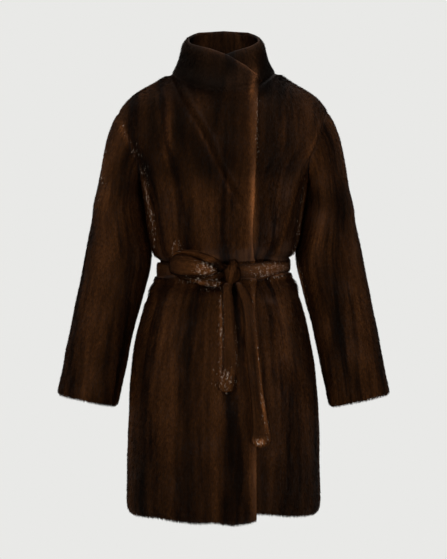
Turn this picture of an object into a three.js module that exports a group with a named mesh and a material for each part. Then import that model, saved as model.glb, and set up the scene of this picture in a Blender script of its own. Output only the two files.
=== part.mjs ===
// A wrap coat of short dense fur with a stand collar and a tied belt, filled out as it is worn.
// Sizes are in millimetres. +X is the viewer's right, -Y the front and +Z up.
// The origin lies at the foot of the neck, midway between the shoulders, where the coat is held up.
import * as THREE from "three";

// Driving dimensions
const WALL = 8; // skin, backing and the fur standing on them
const COLLAR_WALL = 9; // fur on both faces
const SEAM = 0.3; // space between two pieces at a seam
const LAP = 9.8; // how far the under front lies inside the over front
const EDGE_SOFTENING = 1.6; // how far the corners of a free edge are drawn in
const SQUARENESS = 0.05; // how much fuller than an ellipse each ring is
const UNDERARM_Z = -218;
const SHOULDER_Z = -72;
const BREAK_Z = -276; // where the lapel's roll line reaches the front edge
const ARMHOLE_HALF_ANGLE = 33; // degrees either side of the side line
const BELT_HALF_HEIGHT = 17;
const BELT_THICKNESS = 10;
const BELT_STAND_OFF = 1.9; // from the coat's ring at the waist to the belt's inner face
const LAPEL_LIFT = 6; // how far the lapel stands proud of the front
const LAPEL_STEP = 8; // width of that rise, beside the roll line
const COLLAR_TOP = { z: 97, wide: 73, front: 68, back: 84 }; // the ring its cone narrows to

// Rings of the coat from the hem to the neck seam. wide, front and back are its half width and depths,
// drop is how far the ring dips in front, rise how far it lifts behind, lean its tilt to the side.
const LEVELS = [
  { z: -880, wide: 187, front: 133, back: 142, drop: 2, rise: 0, lean: 0 },
  { z: -858, wide: 195, front: 140, back: 149, drop: 2, rise: 0, lean: 0 },
  { z: -790, wide: 194, front: 139, back: 148, drop: 0, rise: 0, lean: 0 },
  { z: -700, wide: 192, front: 137, back: 146, drop: 0, rise: 0, lean: 0 },
  { z: -610, wide: 187, front: 134, back: 143, drop: 0, rise: 0, lean: 0 },
  { z: -530, wide: 174, front: 129, back: 136, drop: 2, rise: 0, lean: 1 },
  { z: -465, wide: 158, front: 122, back: 122, drop: 5, rise: 0, lean: 3 },
  { z: -442, wide: 149, front: 117, back: 113, drop: 7, rise: 0, lean: 4 },
  { z: -424, wide: 141, front: 112, back: 107, drop: 8, rise: 0, lean: 4 },
  { z: -409, wide: 122.5, front: 103, back: 92, drop: 8, rise: 0, lean: 4 },
  { z: -387, wide: 120, front: 101, back: 90, drop: 8, rise: 0, lean: 4 },
  { z: -365, wide: 122.5, front: 103, back: 92, drop: 8, rise: 0, lean: 4 },
  { z: -351, wide: 138, front: 113, back: 102, drop: 7, rise: 0, lean: 3 },
  { z: -310, wide: 149, front: 126, back: 108, drop: 4, rise: 0, lean: 2 },
  { z: -265, wide: 157, front: 136, back: 112, drop: 1, rise: 0, lean: 0 },
  { z: UNDERARM_Z, wide: 167, front: 141, back: 117, drop: 0, rise: 0, lean: 0 },
  { z: -180, wide: 185, front: 141, back: 119, drop: 0, rise: 0, lean: 0 },
  { z: -140, wide: 212, front: 138, back: 119, drop: 0, rise: 0, lean: 0 },
  { z: -103, wide: 216, front: 133, back: 115, drop: 0, rise: 0, lean: 0 },
  { z: SHOULDER_Z, wide: 208, front: 128, back: 110, drop: 2, rise: 0, lean: 0 },
  { z: -51, wide: 193, front: 123, back: 105, drop: 8, rise: 0, lean: 0 },
  { z: -35, wide: 174, front: 120, back: 101, drop: 17, rise: 1, lean: 0 },
  { z: -19, wide: 147, front: 117, back: 97, drop: 27, rise: 3, lean: 0 },
  { z: -6, wide: 121, front: 115, back: 93, drop: 36, rise: 6, lean: 0 },
  { z: 1, wide: 98, front: 113, back: 88, drop: 41, rise: 9, lean: 0 },
];
const levelAt = (z) => LEVELS.findIndex((level) => level.z === z);
const UNDERARM = levelAt(UNDERARM_Z);
const SHOULDER = levelAt(SHOULDER_Z);
const WAIST = levelAt(-387);
const NECK = LEVELS.length - 1;

// The front edge's distance from the middle, against height.
const EDGE = [
  { z: -900, x: 69 },
  { z: -430, x: 66 },
  { z: -330, x: 61 },
  { z: -190, x: 66 },
  { z: -60, x: 70 },
  { z: 60, x: 66 },
];
// The lapel's roll line from the break up to beside the neck. Below the break it only divides the panel.
const ROLL = [
  { z: -420, x: 0 },
  { z: BREAK_Z, x: 46 },
  { z: -234, x: 20 },
  { z: -181, x: -10 },
  { z: -124, x: -34 },
  { z: -75, x: -64 },
  { z: -14, x: -95 },
];

// How far the over and the under front's hems lie above the lowest ring, from the viewer's left.
const HEM = [
  { x: -190, over: 1, under: 0 },
  { x: -130, over: 1, under: 0 },
  { x: -90, over: -4, under: 0 },
  { x: -55, over: -7, under: 4 },
  { x: -20, over: -5, under: 5 },
  { x: 22, over: -10, under: 6 },
  { x: 50, over: -7, under: 7 },
  { x: 70, over: 0, under: 7 },
  { x: 150, over: 0, under: 2 },
  { x: 190, over: 0, under: 1 },
];

// Folds that the belt draws in. up is 1 above the belt and -1 below it, start and end are angles at the
// belt and where the fold dies out, reach its length, half its half width in degrees, rise its height.
const FOLDS = [
  { up: 1, start: 40, end: 56, reach: 210, half: 8, rise: 6 },
  { up: 1, start: 54, end: 66, reach: 190, half: 6, rise: -6 },
  { up: 1, start: 72, end: 78, reach: 110, half: 8, rise: 3.5 },
  { up: 1, start: 6, end: 4, reach: 90, half: 9, rise: 3 },
  { up: 1, start: -28, end: -22, reach: 120, half: 8, rise: 4 },
  { up: 1, start: -50, end: -44, reach: 150, half: 8, rise: 5 },
  { up: 1, start: -66, end: -58, reach: 150, half: 7, rise: -5 },
  { up: 1, start: -80, end: -84, reach: 100, half: 8, rise: 3 },
  { up: -1, start: 33, end: 48, reach: 260, half: 9, rise: 6 },
  { up: -1, start: 46, end: 64, reach: 240, half: 6.5, rise: -7 },
  { up: -1, start: 66, end: 78, reach: 210, half: 8, rise: 5 },
  { up: -1, start: 12, end: 8, reach: 430, half: 6, rise: 3 },
  { up: -1, start: -12, end: -6, reach: 300, half: 8, rise: -3 },
  { up: -1, start: -34, end: -24, reach: 200, half: 6, rise: -5 },
  { up: -1, start: -48, end: -38, reach: 440, half: 8, rise: 5 },
  { up: -1, start: -66, end: -62, reach: 260, half: 8, rise: -4 },
  { up: -1, start: -82, end: -80, reach: 230, half: 8, rise: 5 },
];
const BACK_FOLDS = 9; // alternate troughs and ridges across the back, above and below the belt
for (let i = 0; i < BACK_FOLDS; i += 1) {
  const start = 104 + (152 / (BACK_FOLDS - 1)) * i;
  const rise = i % 2 ? -4.5 : 4;
  const spread = 1 + 0.18 * (((i * 5) % 4) - 1.5);
  FOLDS.push({ up: 1, start, end: 180 + (start - 180) * 0.9, reach: 150 * spread, half: 7, rise });
  FOLDS.push({ up: -1, start, end: 180 + (start - 180) * 0.94, reach: 300 * spread, half: 7.5, rise });
}

// Cross sections down the sleeve of the +X side: middle, half width, half depth, and the angle by which
// the outer side is the higher.
const SLEEVE_RINGS = [
  { x: 209, y: 10, z: -250, wide: 49, deep: 76, tilt: 16 },
  { x: 210.5, y: 9, z: -305, wide: 57, deep: 74, tilt: 13 },
  { x: 211.5, y: 6, z: -363, wide: 66.5, deep: 70, tilt: 12 },
  { x: 228, y: 0, z: -440, wide: 65, deep: 66, tilt: 12 },
  { x: 245, y: -6, z: -520, wide: 64.5, deep: 63, tilt: 12 },
  { x: 261, y: -12, z: -600, wide: 64, deep: 61, tilt: 12 },
  { x: 271, y: -14, z: -651, wide: 63, deep: 60, tilt: 12 },
  { x: 275.5, y: -15, z: -670, wide: 56, deep: 54, tilt: 12 },
];
// Soft folds on each sleeve: around is the angle from its outer side towards the front.
const SLEEVE_FOLDS = [
  { side: -1, around: 60, turn: 18, top: 0.4, bottom: 5.2, half: 17, rise: 4 },
  { side: -1, around: 118, turn: -14, top: 1, bottom: 4, half: 16, rise: -4 },
  { side: -1, around: 250, turn: 10, top: 1.2, bottom: 5, half: 20, rise: 4 },
  { side: 1, around: 78, turn: 22, top: 0.4, bottom: 5.6, half: 16, rise: -4 },
  { side: 1, around: 120, turn: -8, top: 0.8, bottom: 4.6, half: 17, rise: 4 },
  { side: 1, around: 255, turn: -12, top: 1, bottom: 5, half: 20, rise: 4 },
];

// The collar's upper edge, against the angle from the middle of the back.
const COLLAR_EDGE = [
  { angle: 0, z: 97 },
  { angle: 45, z: 91 },
  { angle: 90, z: 76 },
  { angle: 125, z: 62 },
  { angle: 161, z: 48 },
  { angle: 188, z: 33 },
  { angle: 211, z: 13 },
  { angle: 219, z: -1 },
  { angle: 224, z: -16 },
];

// The bow and the belt's two ends: the place on the coat that the strap's middle lies over, its half width,
// and its distance out from there. The bow's z is the middle's own.
const BOW = [
  { x: -6, z: -399, half: 15, out: 24 },
  { x: -16, z: -402, half: 27, out: 34 },
  { x: -28, z: -396, half: 31, out: 40 },
  { x: -43, z: -386, half: 30, out: 40 },
  { x: -61, z: -380, half: 25, out: 35 },
  { x: -77, z: -382, half: 19, out: 27.5 },
  { x: -82, z: -383, half: 17, out: 20.5 },
  { x: -74, z: -384, half: 18, out: 16 },
  { x: -54, z: -387, half: 20, out: 15.9 },
  { x: -30, z: -392, half: 18, out: 15.9 },
];
const SHORT_END = [
  { x: 8, z: -415.2, half: 10, out: 22 },
  { x: 7, z: -430, half: 11, out: 15 },
  { x: 9, z: -462, half: 13, out: 6 },
  { x: 12, z: -520, half: 15, out: 4.2 },
  { x: 12, z: -580, half: 15.5, out: 4.2 },
  { x: 8, z: -608, half: 16.5, out: 4.2 },
  { x: 6, z: -622, half: 14, out: 4.2 },
  { x: 6, z: -629, half: 7, out: 4.2 },
];
const LONG_END = [
  { x: 25, z: -414.5, half: 8, out: 22 },
  { x: 35, z: -431, half: 12, out: 15 },
  { x: 47, z: -464, half: 14, out: 6 },
  { x: 53, z: -520, half: 14.5, out: 4.2 },
  { x: 59, z: -584, half: 14.5, out: 4.2 },
  { x: 67, z: -650, half: 15.5, out: 4.2 },
  { x: 75, z: -712, half: 17.5, out: 4.2 },
  { x: 78, z: -733, half: 15, out: 4.2 },
  { x: 79, z: -741, half: 8, out: 4.2 },
];
const STRAP_HALF_THICKNESS = 4.5;
const KNOT = { x: 15, z: -397, wide: 19, deep: 13, high: 19.5, out: 25, grooves: 2, groove: 0.11 };

// How finely each piece is divided
const SHORT_STEPS = 10; // rows round each armhole
const BACK_COLUMNS = 30;
const FRONT_COLUMNS = 18; // from the side seam to the roll line
const LAPEL_COLUMNS = 12; // from the roll line to the edge
const UNDER_COLUMNS = 22;
const SLEEVE_ROWS = [0, 0.12, 0.3, 0.5, 0.75, 1, 1.5, 2, 2.5, 3, 3.5, 4, 4.5, 5, 6, 7];
const COLLAR_ROWS = 4;
const BELT_COLUMNS = 44;
const STRAP_SIDES = 8;

const { sin, cos, PI, min, max, sqrt, abs } = Math;
const radians = THREE.MathUtils.degToRad;
const degrees = THREE.MathUtils.radToDeg;
const smooth = (x, low, high) => THREE.MathUtils.smoothstep(x, low, high);
const point = (x, y, z) => new THREE.Vector3(x, y, z);

// The values of a table's rows between two of them, on a smooth curve through the rows.
function between(rows, t) {
  const i = min(max(Math.floor(t), 0), rows.length - 2);
  const f = t - i;
  const row = (k) => rows[min(max(k, 0), rows.length - 1)];
  const made = {};
  for (const key of Object.keys(rows[0])) {
    const [a, b, c, d] = [row(i - 1)[key], row(i)[key], row(i + 1)[key], row(i + 2)[key]];
    made[key] = b + 0.5 * f * (c - a + f * (2 * a - 5 * b + 4 * c - d + f * (3 * (b - c) + d - a)));
  }
  return made;
}

// A table's value column against its key column, along straight lines.
function lookUp(rows, key, value, at) {
  const last = rows.length - 1;
  if (at <= rows[0][key]) return rows[0][value];
  if (at >= rows[last][key]) return rows[last][value];
  const i = rows.findIndex((row) => row[key] > at) - 1;
  const share = (at - rows[i][key]) / (rows[i + 1][key] - rows[i][key]);
  return rows[i][value] + share * (rows[i + 1][value] - rows[i][value]);
}

// The smooth form of the coat without folds, at a level and an angle from the middle of the front.
function form(level, angle) {
  const ring = between(LEVELS, level);
  const [s, c] = [sin(angle), cos(angle)];
  const full = 1 + SQUARENESS * sin(2 * angle) ** 2;
  return point(
    ring.wide * s * full,
    (c > 0 ? -ring.front : -ring.back) * c * full,
    ring.z - ring.drop * max(c, 0) ** 2 + ring.rise * max(-c, 0) ** 2 + ring.lean * s,
  );
}

// The outward unit normal of a surface whose first number runs up and second runs to the viewer's right.
function outward(surface, a, b) {
  const step = 1e-3;
  const up = surface(a + step, b).sub(surface(a - step, b));
  const across = surface(a, b + step).sub(surface(a, b - step));
  return across.cross(up).normalize();
}

// The angle at which a level's ring is x from the middle, on the front.
function angleAt(level, x) {
  let [low, high] = [-PI / 2, PI / 2];
  for (let i = 0; i < 24; i += 1) {
    const middle = (low + high) / 2;
    if (form(level, middle).x < x) low = middle;
    else high = middle;
  }
  return (low + high) / 2;
}

// The level and angle of the point of the front at x and z.
function placeOnFront(x, z) {
  let [low, high, angle] = [0, NECK, 0];
  for (let i = 0; i < 24; i += 1) {
    const middle = (low + high) / 2;
    angle = angleAt(middle, x);
    if (form(middle, angle).z < z) low = middle;
    else high = middle;
  }
  return { level: (low + high) / 2, angle };
}

const edgeAngle = (level) => angleAt(level, lookUp(EDGE, "z", "x", form(level, 0.4).z));

// The roll line's angle at a level.
function rollAngle(level) {
  let angle = 0;
  for (let i = 0; i < 12; i += 1) {
    angle = angleAt(level, lookUp(ROLL, "z", "x", form(level, angle).z));
  }
  return angle;
}

// How far the folds at the waist move the coat outwards there.
function foldHeight(z, angle) {
  let height = 0;
  for (const fold of FOLDS) {
    const beltEdge = LEVELS[WAIST].z + fold.up * (BELT_HALF_HEIGHT + 3);
    const share = (fold.up * (z - beltEdge)) / fold.reach;
    if (share <= 0 || share >= 1) continue;
    const middle = fold.start + (fold.end - fold.start) * share;
    const off = (((degrees(angle) - middle + 540) % 360) + 360) % 360 - 180;
    const strength = smooth(share, 0, 0.22) * (1 - smooth(share, 0.35, 1));
    height += fold.rise * strength * Math.exp(-((off / fold.half) ** 2));
  }
  return height;
}

// How far inside the over front the under front and collar lie: wholly under it, and not at all further on.
function lapDepth(level, angle) {
  const clear = edgeAngle(min(level, NECK)) + radians(3);
  return LAP * (1 - smooth(angle, clear, clear + radians(25)));
}

// How far the lapel lifts the over front.
function lapelLift(level, angle, z) {
  const across = form(level, angle).x - form(level, rollAngle(level)).x;
  const along = smooth(z, BREAK_Z - 8, BREAK_Z + 60) * (1 - smooth(level, NECK - 3, NECK - 0.4));
  return LAPEL_LIFT * along * smooth(across, 0, LAPEL_STEP);
}

// The three cuts of the body. Each gives how far its outer face stands off the smooth form.
const standOff = {
  back: (level, angle) => foldHeight(form(level, angle).z, angle),
  over(level, angle) {
    const z = form(level, angle).z;
    return foldHeight(z, angle) + lapelLift(level, angle, z);
  },
  under: (level, angle) => foldHeight(form(level, angle).z, angle) - lapDepth(level, angle),
};

// How far a cut's hem hangs above or below the lowest ring. Only the fronts' hems wander.
function hemShift(cut, angle) {
  if (cut === "back") return 0;
  return lookUp(HEM, "x", cut, form(0, angle).x);
}

function bodyPoint(cut, level, angle, depth) {
  const normal = level === NECK ? neckMitre(angle) : outward(form, level, angle);
  const made = form(level, angle).addScaledVector(normal, standOff[cut](level, angle) - depth);
  made.z += hemShift(cut, angle) * max(0, 1 - level / 2.5) ** 2;
  return made;
}

// Rows of the body's panels. The rows of the armhole are the sleeve's points, so that the two meet.
function bodyRows() {
  const below = [];
  for (let level = 0; level < UNDERARM; level += 1) below.push(level);
  const round = [];
  for (let i = 0; i < SHORT_STEPS; i += 1) round.push(armholeLevel(PI * (1 - i / SHORT_STEPS)));
  const above = [];
  for (let level = SHOULDER; level <= NECK; level += 1) above.push(level);
  return [...below, ...round, ...above];
}

// Round the armhole, 0 is the shoulder, 90 degrees the front and 180 the underarm.
const armholeLevel = (round) => UNDERARM + ((SHOULDER - UNDERARM) * (1 + cos(round))) / 2;

// Half the angle left open at the side: the armhole, or only the seam's space.
function sideGap(level) {
  const seam = SEAM / 2 / form(level, PI / 2).x;
  const share = (level - UNDERARM) / (SHOULDER - UNDERARM);
  if (share <= 0 || share >= 1) return seam;
  return max(seam, radians(ARMHOLE_HALF_ANGLE) * 2 * sqrt(share * (1 - share)));
}

// A closed solid between an outer and an inner grid of points, rows by columns. round joins the last column
// to the first. Its faces are turned to point out.
function wall(outer, inner, round = false) {
  const [rows, columns] = [outer.length, outer[0].length];
  const count = rows * columns;
  const points = [...outer.flat(), ...inner.flat()];
  const at = (row, column) => row * columns + (column % columns);
  const faces = [];
  const quad = (a, b, c, d) => faces.push(a, b, c, a, c, d);
  const spans = round ? columns : columns - 1;
  for (let j = 0; j < spans; j += 1) {
    for (let i = 0; i < rows - 1; i += 1) {
      let [a, b, c, d] = [at(i, j), at(i, j + 1), at(i + 1, j + 1), at(i + 1, j)];
      const short = points[a].distanceTo(points[c]) <= points[b].distanceTo(points[d]);
      if (!short) [a, b, c, d] = [b, c, d, a];
      quad(a, b, c, d);
      quad(c + count, b + count, a + count, d + count);
    }
    const [low, lowNext] = [at(0, j), at(0, j + 1)];
    const [high, highNext] = [at(rows - 1, j), at(rows - 1, j + 1)];
    quad(lowNext, low, low + count, lowNext + count);
    quad(high, highNext, highNext + count, high + count);
  }
  for (let i = 0; i < rows - 1 && !round; i += 1) {
    const [first, firstUp] = [at(i, 0), at(i + 1, 0)];
    const [last, lastUp] = [at(i, columns - 1), at(i + 1, columns - 1)];
    quad(first, firstUp, firstUp + count, first + count);
    quad(lastUp, last, last + count, lastUp + count);
  }
  return solid(points, faces);
}

function solid(points, faces) {
  const geometry = new THREE.BufferGeometry().setFromPoints(points);
  let volume = 0;
  for (let i = 0; i < faces.length; i += 3) {
    const [a, b, c] = faces.slice(i, i + 3).map((corner) => points[corner]);
    volume += a.dot(b.clone().cross(c));
  }
  geometry.setIndex(volume > 0 ? faces : faces.toReversed());
  geometry.computeVertexNormals();
  return geometry;
}

const spaced = (first, last, count) =>
  Array.from({ length: count + 1 }, (_, i) => first + ((last - first) * i) / count);

// The angles of each cut's columns at a level, the over front's with one on the roll line.
const columns = {
  back: (level) => spaced(PI / 2 + sideGap(level), (3 * PI) / 2 - sideGap(level), BACK_COLUMNS),
  over(level) {
    const roll = rollAngle(level);
    const step = angleAt(level, form(level, roll).x + LAPEL_STEP);
    return [
      ...spaced(-PI / 2 + sideGap(level), roll, FRONT_COLUMNS),
      ...spaced(step, edgeAngle(level), LAPEL_COLUMNS - 1),
    ];
  },
  under: (level) => spaced(-edgeAngle(level), PI / 2 - sideGap(level), UNDER_COLUMNS),
};

// One panel of the body. free says which of its sides are open edges.
function panel(cut, free) {
  const rows = bodyRows();
  const [outer, inner] = [[], []];
  rows.forEach((level, i) => {
    const angles = columns[cut](level);
    outer.push([]);
    inner.push([]);
    angles.forEach((angle, j) => {
      const open = i === 0 || (free.first && j === 0) || (free.last && j === angles.length - 1);
      const soft = open ? EDGE_SOFTENING : 0;
      outer[i].push(bodyPoint(cut, level, angle, soft));
      inner[i].push(bodyPoint(cut, level, angle, WALL - soft));
    });
  });
  return wall(outer, inner);
}

// The sleeve of the +X side, from the armhole at 0 through its rings at 1, 2 and so on.
function sleeveForm(along, round) {
  const armhole = form(armholeLevel(round), PI / 2 - radians(ARMHOLE_HALF_ANGLE) * sin(round));
  const ringPoint = (k) => {
    if (k < 1) return armhole.clone();
    const ring = SLEEVE_RINGS[min(k, SLEEVE_RINGS.length) - 1];
    const tilt = radians(ring.tilt);
    return point(
      ring.x + ring.wide * cos(round) * cos(tilt),
      ring.y - ring.deep * sin(round),
      ring.z + ring.wide * cos(round) * sin(tilt),
    );
  };
  const leaving = point(53 + 47 * cos(round), 35 * sin(round), -82.5 - 37.5 * cos(round));
  const heading = (k) => {
    if (k < 1) return leaving;
    return ringPoint(k + 1).sub(ringPoint(k - 1)).multiplyScalar(0.5);
  };
  const k = min(max(Math.floor(along), 0), SLEEVE_RINGS.length - 1);
  const f = along - k;
  const [f2, f3] = [f * f, f * f * f];
  return ringPoint(k)
    .multiplyScalar(2 * f3 - 3 * f2 + 1)
    .addScaledVector(heading(k), f3 - 2 * f2 + f)
    .addScaledVector(ringPoint(k + 1), 3 * f2 - 2 * f3)
    .addScaledVector(heading(k + 1), f3 - f2);
}

function sleeveFold(side, along, round) {
  let height = 0;
  for (const fold of SLEEVE_FOLDS) {
    const share = (along - fold.top) / (fold.bottom - fold.top);
    if (fold.side !== side || share <= 0 || share >= 1) continue;
    const middle = fold.around + fold.turn * (share - 0.5);
    const off = (((degrees(round) - middle + 540) % 360) + 360) % 360 - 180;
    height += fold.rise * sin(PI * share) * Math.exp(-((off / fold.half) ** 2));
  }
  return height;
}

// Both faces of a sleeve. At the armhole its wall lies as the body's does where the two are in line, and
// beside the body's where they meet at a sharp angle, under the arm.
function sleeve(side) {
  const [outer, inner] = [[], []];
  const rounds = spaced(0, 2 * PI, 2 * SHORT_STEPS).slice(0, -1);
  SLEEVE_ROWS.forEach((along, i) => {
    outer.push([]);
    inner.push([]);
    rounds.forEach((round) => {
      const normal = outward((a, b) => sleeveForm(-a, -b), -max(along, 0.004), -round);
      const place = sleeveForm(along, round);
      let through = normal;
      if (i === 0) {
        const level = armholeLevel(round);
        const bodyOut = outward(form, level, PI / 2 - radians(ARMHOLE_HALF_ANGLE) * sin(round));
        const leaving = sleeveForm(0.05, round).sub(place).normalize();
        if (leaving.dot(bodyOut) < 0) through = bodyOut;
        const onward = leaving.clone().addScaledVector(bodyOut, 0.8).normalize();
        place.addScaledVector(onward, SEAM * 1.6);
      }
      const soft = i === SLEEVE_ROWS.length - 1 ? EDGE_SOFTENING : 0;
      const fold = i === 0 ? 0 : sleeveFold(side, along, round);
      outer[i].push(place.clone().addScaledVector(normal, fold - soft));
      inner[i].push(place.clone().addScaledVector(through, fold + soft - WALL));
    });
  });
  for (const p of [...outer.flat(), ...inner.flat()]) p.x *= side;
  return wall(outer, inner, true);
}

// The way across the neck seam that halves the angle between body and collar, as long as a mitre there is.
function neckMitre(angle) {
  const [body, stand] = [outward(form, NECK - 1e-2, angle), outward(collarForm, 0.02, angle)];
  const middle = body.add(stand).normalize();
  return middle.divideScalar(max(middle.dot(stand), 0.6));
}

// The collar goes from its end over the front, round by the viewer's left and the back, and in under itself.
// Its first number runs up from 0 at the neck seam to 1 at the height of the back's edge.
function collarForm(height, angle) {
  const [s, c] = [sin(angle), cos(angle)];
  const full = 1 + SQUARENESS * sin(2 * angle) ** 2;
  const foot = form(NECK, angle);
  const top = point(
    COLLAR_TOP.wide * s * full,
    (c > 0 ? -COLLAR_TOP.front : -COLLAR_TOP.back) * c * full,
    COLLAR_TOP.z,
  );
  return foot.lerp(top, height);
}

function collar() {
  const [outer, inner] = [[], []];
  const angles = [
    ...columns.under(NECK).map((angle) => angle - 2 * PI),
    ...columns.back(NECK).slice(1).map((angle) => angle - 2 * PI),
    ...columns.over(NECK).slice(1),
  ];
  for (let i = 0; i <= COLLAR_ROWS; i += 1) {
    outer.push([]);
    inner.push([]);
    angles.forEach((angle, j) => {
      const edgeZ = lookUp(COLLAR_EDGE, "angle", "z", abs(degrees(angle + PI)));
      const footZ = form(NECK, angle).z + SEAM * 2;
      const topShare = (edgeZ - footZ) / (COLLAR_TOP.z - footZ);
      const height = (topShare * i) / COLLAR_ROWS;
      const normal = i === 0 ? neckMitre(angle) : outward(collarForm, height, angle);
      const under = angle < -PI ? lapDepth(NECK, angle + 2 * PI) : 0;
      const open = i === COLLAR_ROWS || j === 0 || j === angles.length - 1;
      const soft = open ? EDGE_SOFTENING : 0;
      const place = collarForm(height, angle);
      place.z += SEAM * 2;
      outer[i].push(place.clone().addScaledVector(normal, -under - soft));
      inner[i].push(place.clone().addScaledVector(normal, soft - under - COLLAR_WALL));
    });
  }
  return wall(outer, inner);
}

// A flat strap through stations, each with its middle, a unit vector across it, one out of its face, and its
// half width and half thickness.
function strap(stations) {
  const points = [];
  const faces = [];
  for (const { middle, across, out, half, thick } of stations) {
    for (let i = 0; i < STRAP_SIDES; i += 1) {
      const turn = (2 * PI * (i + 0.5)) / STRAP_SIDES;
      const [c, s] = [cos(turn), sin(turn)];
      const place = middle.clone();
      place.addScaledVector(across, half * Math.sign(c) * sqrt(abs(c)));
      place.addScaledVector(out, thick * Math.sign(s) * sqrt(abs(s)));
      points.push(place);
    }
  }
  const last = (stations.length - 1) * STRAP_SIDES;
  for (let k = 0; k < last; k += STRAP_SIDES) {
    for (let i = 0; i < STRAP_SIDES; i += 1) {
      const next = (i + 1) % STRAP_SIDES;
      const [a, b, c, d] = [k + i, k + next, k + STRAP_SIDES + next, k + STRAP_SIDES + i];
      faces.push(a, b, c, a, c, d);
    }
  }
  for (let i = 1; i < STRAP_SIDES - 1; i += 1) {
    faces.push(0, i + 1, i);
    faces.push(last, last + i, last + i + 1);
  }
  return solid(points, faces);
}

// The smooth form at the waist, and straight up and down from there, as the belt lies.
const beltForm = (up, angle) => form(WAIST, angle).add(point(0, 0, up));

// The belt round the waist. Its two ends meet behind the knot.
function belt() {
  const gap = radians(1.2);
  const angles = spaced(radians(7) - gap, radians(7) + gap - 2 * PI, BELT_COLUMNS);
  const stations = angles.map((angle) => {
    const out = outward(beltForm, 0, angle);
    return {
      middle: beltForm(0, angle).addScaledVector(out, BELT_STAND_OFF + BELT_THICKNESS / 2),
      across: point(0, 0, 1),
      out,
      half: BELT_HALF_HEIGHT,
      thick: BELT_THICKNESS / 2,
    };
  });
  return strap(stations);
}

// A strap that hangs over the front of the coat.
function hangingStrap(rows) {
  const stations = rows.map((row) => {
    const { level, angle } = placeOnFront(row.x, row.z);
    const out = outward(form, level, angle).setZ(0).normalize();
    const beside = [row.x - row.half, row.x, row.x + row.half].map((x) => {
      const place = placeOnFront(min(x, lookUp(EDGE, "z", "x", row.z)), row.z);
      return standOff.over(place.level, place.angle);
    });
    const middle = form(level, angle).addScaledVector(out, row.out + max(...beside));
    const across = point(-out.y, out.x, 0);
    return { middle, across, out, half: row.half, thick: STRAP_HALF_THICKNESS };
  });
  return strap(stations);
}

// The bow, a strap that leaves the knot, turns back at its far end and comes to the knot again behind.
function bow() {
  const middles = BOW.map((row) => {
    const angle = angleAt(WAIST, row.x);
    const out = outward(beltForm, 0, angle);
    const middle = beltForm(0, angle).addScaledVector(out, row.out);
    return middle.setZ(row.z);
  });
  const stations = middles.map((middle, i) => {
    const before = middles[max(i - 1, 0)];
    const after = middles[min(i + 1, middles.length - 1)];
    const along = after.clone().sub(before).setZ(0).normalize();
    const out = point(-along.y, along.x, 0);
    const thick = i === 0 ? STRAP_HALF_THICKNESS * 1.2 : STRAP_HALF_THICKNESS * 0.8;
    return { middle, across: point(0, 0, 1), out, half: BOW[i].half, thick };
  });
  return strap(stations);
}

// The knot, a flattened ball with the turns of the strap as soft grooves across it.
function knot() {
  const geometry = new THREE.SphereGeometry(1, 16, 10);
  const centre = beltForm(0, angleAt(WAIST, KNOT.x));
  centre.addScaledVector(outward(beltForm, 0, angleAt(WAIST, KNOT.x)), KNOT.out);
  const place = geometry.getAttribute("position");
  for (let i = 0; i < place.count; i += 1) {
    const p = point().fromBufferAttribute(place, i);
    const turn = Math.atan2(p.x, p.z) - 0.5;
    const flat = 1 - abs(p.y);
    const size = 1 - KNOT.groove * flat * (1 - cos(2 * KNOT.grooves * turn)) / 2;
    place.setXYZ(
      i,
      centre.x + KNOT.wide * p.x * size,
      centre.y + KNOT.deep * p.y * size,
      KNOT.z + KNOT.high * p.z * size,
    );
  }
  geometry.computeVertexNormals();
  return geometry;
}

const FUR = { color: 0x3a2111, roughness: 0.7, metalness: 0 };
const DARK_FUR = { color: 0x2c180c, roughness: 0.7, metalness: 0 };

const coat = new THREE.Group();
function add(name, geometry, finish) {
  const mesh = new THREE.Mesh(geometry, new THREE.MeshStandardMaterial(finish));
  mesh.name = name;
  coat.add(mesh);
}

add("back", panel("back", {}), FUR);
add("right_front", panel("over", { last: true }), FUR);
add("left_front", panel("under", { first: true }), FUR);
add("right_sleeve", sleeve(-1), FUR);
add("left_sleeve", sleeve(1), FUR);
add("collar", collar(), DARK_FUR);
add("belt", belt(), FUR);
add("belt_knot", knot(), DARK_FUR);
add("belt_bow", bow(), FUR);
add("belt_short_end", hangingStrap(SHORT_END), FUR);
add("belt_long_end", hangingStrap(LONG_END), FUR);

export default coat;
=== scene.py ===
import math

import bpy
import numpy as np
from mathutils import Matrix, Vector


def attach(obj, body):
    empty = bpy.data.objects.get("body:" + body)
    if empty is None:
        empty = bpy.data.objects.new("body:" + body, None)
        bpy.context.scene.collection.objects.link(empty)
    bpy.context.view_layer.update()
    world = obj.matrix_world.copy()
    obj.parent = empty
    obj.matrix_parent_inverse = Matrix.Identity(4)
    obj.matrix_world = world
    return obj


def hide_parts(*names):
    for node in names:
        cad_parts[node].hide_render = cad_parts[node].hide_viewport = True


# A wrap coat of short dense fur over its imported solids: thin skins with rounded free edges and a lining,
# and the hairs that stand on them.
# Tables are in millimetres, as in the part's source. +X is the viewer's right, -Y the front and +Z up.
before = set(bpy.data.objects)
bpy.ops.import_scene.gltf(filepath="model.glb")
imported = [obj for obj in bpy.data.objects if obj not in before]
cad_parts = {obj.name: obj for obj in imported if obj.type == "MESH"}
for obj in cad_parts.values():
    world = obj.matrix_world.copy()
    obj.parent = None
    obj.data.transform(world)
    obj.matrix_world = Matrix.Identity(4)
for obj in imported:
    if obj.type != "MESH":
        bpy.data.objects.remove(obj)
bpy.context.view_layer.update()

# Driving dimensions
HAIR_DEPTH = 3.2  # from the solid's face, which stands for the hairs' tips, in to the skin
SKIN_HALF = 2.2  # half the thickness of skin, backing and lining
NECK_FILL = 5  # how far the neck seam is filled out
HEM_TURN = 4.5  # how far the skin ends above the hairs' ends at the hem and the cuffs
EDGE_TURN = 3.5  # the same at the front edges
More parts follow.
